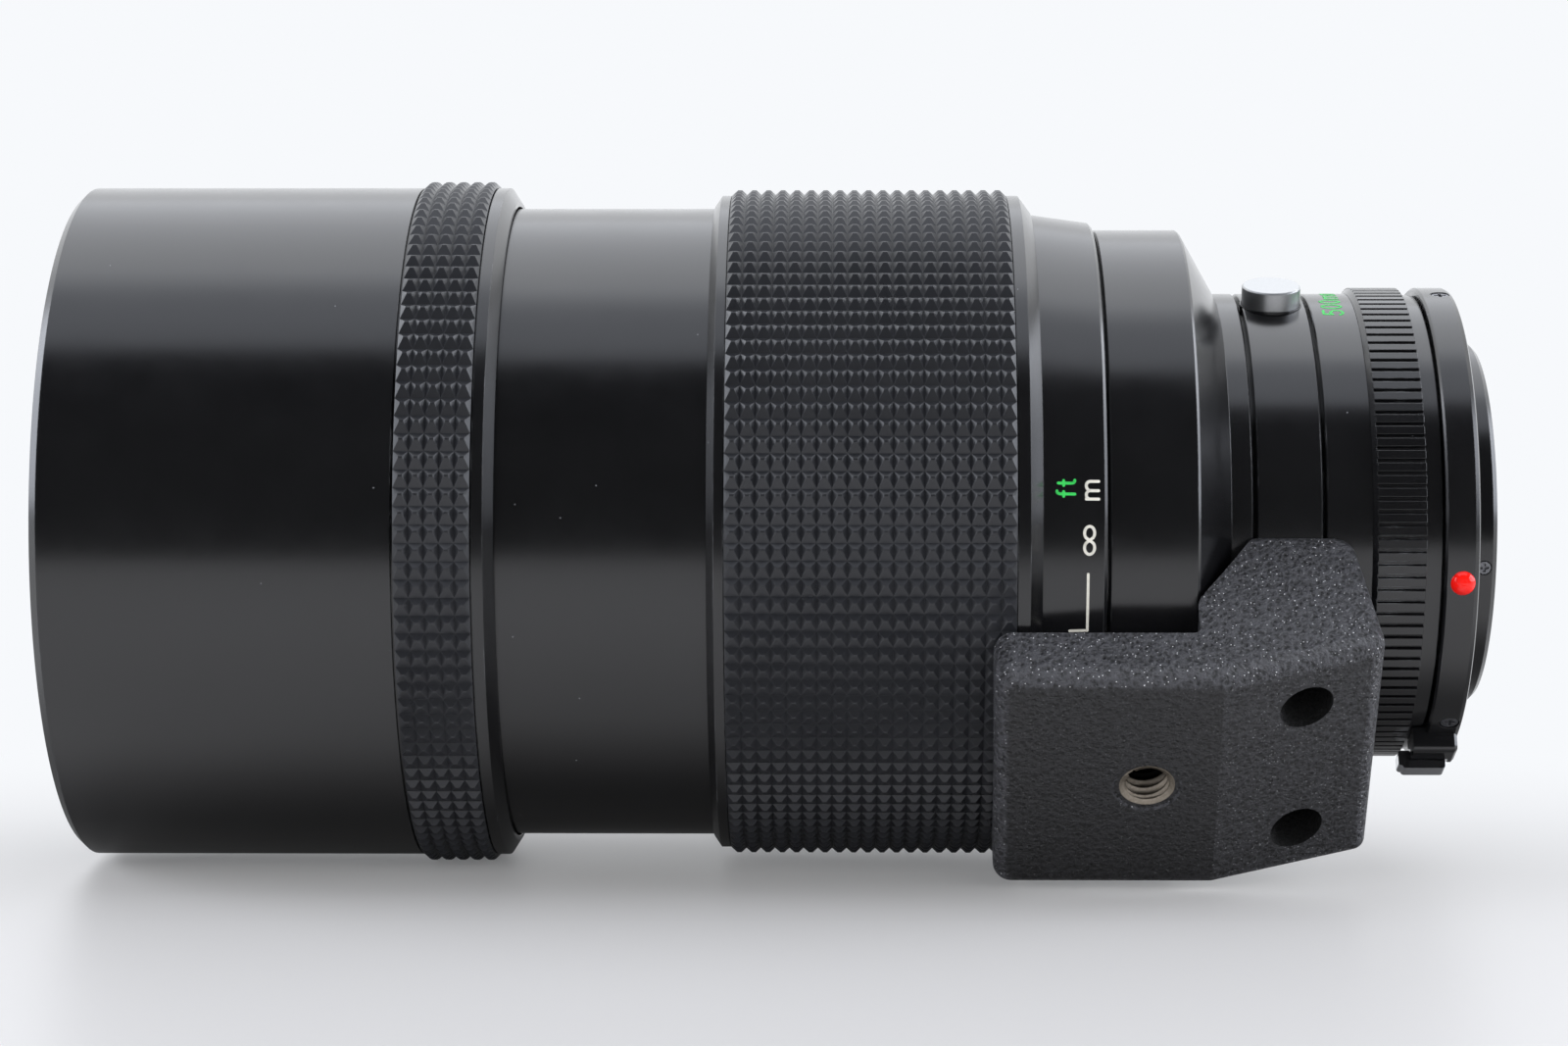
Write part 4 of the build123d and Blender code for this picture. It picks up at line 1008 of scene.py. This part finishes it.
for name, glyphs, high, baseline, angle, colour in SIGNS:
    number(name, glyphs, high, baseline, angle, scale_radius, colour, "focus_ring")
for text in METRES:
    angle = INDEX_BELOW + TURN * NEAREST_M / float(text)
    number("metres_" + text.replace(".", "_"), text, DIGIT_HEIGHT, METRE_BASELINE, angle,
           scale_radius, "white", "focus_ring")
for text in FEET:
    angle = INDEX_BELOW + TURN * NEAREST_M / (float(text) * FOOT_M)
    number("feet_" + text, text, DIGIT_HEIGHT, FEET_BASELINE, angle,
           scale_radius, "green", "focus_ring")
print("scale:", len(METRES), "metre and", len(FEET), "feet numbers")

# %% [markdown]
# The long line beside the infinity sign shows how far the ring may turn past infinity,
# which a long lens needs because it grows when it is warm. Its foot points to the feet.
# The index is on the fixed barrel, and the focal length on the number ring behind it.
# %% Infinity line, index and focal length, in millimetres and degrees
LINE_ALONG = -50.77
LINE_FROM, LINE_TO = 5.3, 15.6
LINE_STROKE = 0.34
LINE_STEPS = 14
FOOT_TO = -53.0
INDEX_ALONG, INDEX_LENGTH, INDEX_STROKE = -44.9, 3.2, 0.55
FOCAL_HEIGHT, FOCAL_GAP = 2.55, 0.22
FOCAL_BEHIND_MIDDLE = 1.3
FOCAL_ANGLE = -66.0

reach = math.radians(LINE_TO - LINE_FROM) * scale_radius(LINE_ALONG)
line = [(-reach * i / LINE_STEPS, 0.0) for i in range(LINE_STEPS + 1)]
line.append((-reach, LINE_ALONG - FOOT_TO))
engraved("infinity_line", [line], LINE_STROKE, LINE_ALONG, LINE_FROM, scale_radius,
         "white", "focus_ring")

FIXED_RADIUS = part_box("main_barrel")[1].y / MM
engraved("focus_index", [[(0.0, 0.0), (0.0, INDEX_LENGTH)]], INDEX_STROKE, INDEX_ALONG,
         INDEX_BELOW, lambda along: FIXED_RADIUS, "white", "barrel")

lo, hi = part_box("number_ring")
NUMBER_RADIUS = hi.y / MM
strokes, length = lettering("500mm", FOCAL_HEIGHT, gap=FOCAL_GAP)
engraved("focal_length_number", strokes, STROKE, (lo.x + hi.x) / 2 / MM + FOCAL_BEHIND_MIDDLE,
         FOCAL_ANGLE, lambda along: NUMBER_RADIUS, "green", "barrel")
print("infinity line", round(reach, 1), "mm long, focal length", round(length, 1), "mm")

# %% [markdown]
# ## The tripod thread
# The bush in the foot is a steel insert with the common quarter inch tripod thread,
# 20 turns to the inch. A bump would not show the spiral running out at the mouth, so
# the wall is a grid whose radius follows a triangular wave that climbs with the angle,
# opened by a short countersink at the mouth. The wave is drawn too high and cut off at
# both ends, which leaves a thread's narrow flats.
# %% Shape of the thread
THREAD_PITCH = 25.4 / 20 * MM
THREAD_DEPTH = 0.60 * MM
INSERT_WALL = 0.28 * MM
WAVE_HEIGHT, WAVE_CUT = 1.4, 0.2      # in thread depths
MOUTH_DEPTH = 0.44 * MM
MOUTH_WIDTH = 0.78 * MM
MOUTH_RIM = 0.05 * MM
THREAD_START = 0.62                   # where the helix runs out at the mouth, in turns
RUN_OUT = 0.035

lo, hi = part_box("tripod_bush")
bush_radius = (hi.x - lo.x) / 2
# The bush lies aslant in its box: this is the length that gives such a box.
spread = abs(foot_down.y) * (hi.y - lo.y) - abs(foot_down.z) * (hi.z - lo.z)
bush_length = spread / (foot_down.y ** 2 - foot_down.z ** 2)
bush_centre_out = Vector((0, bush_centre.y, bush_centre.z)).length
mouth_out = bush_centre_out + bush_length / 2
major = bush_radius - INSERT_WALL
minor = major - THREAD_DEPTH


def thread_radius(turn, depth):
    """Inner wall radius at a turn of the helix and a depth below the mouth."""
    phase = (depth / THREAD_PITCH + turn) % 1.0
    wave = 1 - abs(2 * phase - 1)
    cut = minor + THREAD_DEPTH * min(1.0, max(0.0, WAVE_HEIGHT * wave - WAVE_CUT))
    if abs(turn - THREAD_START) < RUN_OUT:
        return max(cut, major)
    mouth = bush_radius - MOUTH_RIM - MOUTH_WIDTH * depth / MOUTH_DEPTH
    return max(minor, mouth) if depth < MOUTH_DEPTH else cut


print("thread", round(2 * minor / MM, 2), "to", round(2 * major / MM, 2), "mm wide")

# %% [markdown]
# The grid goes round the bush and down into it. Two more rings of points, at the mouth
# and at the bottom, close the insert on its outside.
# %% Mesh of the thread insert
TURN_STEPS, LENGTH_STEPS = 96, 120


def in_bush(angle, radius, depth):
    """A point in the bush by its angle, its radius and its depth below the mouth."""
    return (Vector((bush_centre.x + radius * math.cos(angle), 0, 0))
            + across_foot * (radius * math.sin(angle)) + foot_down * (mouth_out - depth))


points, faces = [], []
angles = [2 * math.pi * i / TURN_STEPS for i in range(TURN_STEPS)]
for j in range(LENGTH_STEPS + 1):
    depth = bush_length * j / LENGTH_STEPS
    for i, angle in enumerate(angles):
        points.append(in_bush(angle, thread_radius(i / TURN_STEPS, depth), depth))
for depth in (0.0, bush_length):
    points += [in_bush(angle, bush_radius, depth) for angle in angles]
outer_top = (LENGTH_STEPS + 1) * TURN_STEPS
outer_bottom = outer_top + TURN_STEPS
rings = [outer_bottom, outer_top, *range(0, outer_top, TURN_STEPS), outer_bottom]
for first, second in zip(rings, rings[1:]):
    for i in range(TURN_STEPS):
        after = (i + 1) % TURN_STEPS
        faces.append((first + i, first + after, second + after, second + i))
mesh = bpy.data.meshes.new("tripod_thread_insert")
mesh.from_pydata(points, [], faces)
mesh.validate()
mesh.materials.append(FINISHES["insert_steel"])
insert = bpy.data.objects.new("tripod_thread_insert", mesh)
scene.collection.objects.link(insert)
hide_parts("tripod_bush")
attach(insert, "tripod_collar")
print("insert", round(bush_length / MM, 2), "mm long, radius", round(bush_radius / MM, 2), "mm")

# %% [markdown]
# The depth of the thread gets painted shade: a near-black is mixed over the steel's own
# colour by how far in a point lies.
# %% Painted shade in the thread
UNSHADED_DEPTH = 2.9 * MM
SHADE_EDGE_WIDTH = 0.8 * MM

insert_tree = FINISHES["insert_steel"].node_tree
insert_shader = insert_tree.nodes["Principled BSDF"]
worn_face = insert_shader.inputs["Base Color"].links[0].from_socket
place = add(insert_tree, "TexCoord").outputs["Object"]
outward = add(insert_tree, "VectorMath", {0: place, 1: foot_down}, operation="DOT_PRODUCT")
painted_thread_shade = add(insert_tree, "MapRange", {
    "Value": outward.outputs["Value"],
    "From Min": mouth_out - UNSHADED_DEPTH, "From Max": mouth_out - UNSHADED_DEPTH - SHADE_EDGE_WIDTH,
})
# painted shade: the thread turns near black with depth
with_painted_thread_shade = add(insert_tree, "Mix", {
    "Factor": painted_thread_shade.outputs[0], 6: worn_face, 7: linear("#0c0b0a"),
}, data_type="RGBA")
insert_tree.links.new(with_painted_thread_shade.outputs[2], insert_shader.inputs["Base Color"])
print("grease from", UNSHADED_DEPTH / MM, "mm below the mouth")

# %% [markdown]
# ## Measuring before leaving
# Both boxes are printed: the CAD one at the start, the dressed one here. The dressed
# lens may not be larger than the CAD one.
# %% Sizes
lo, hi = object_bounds()
print("visual box in mm:", [round(v / MM, 2) for v in (*lo, *hi)])
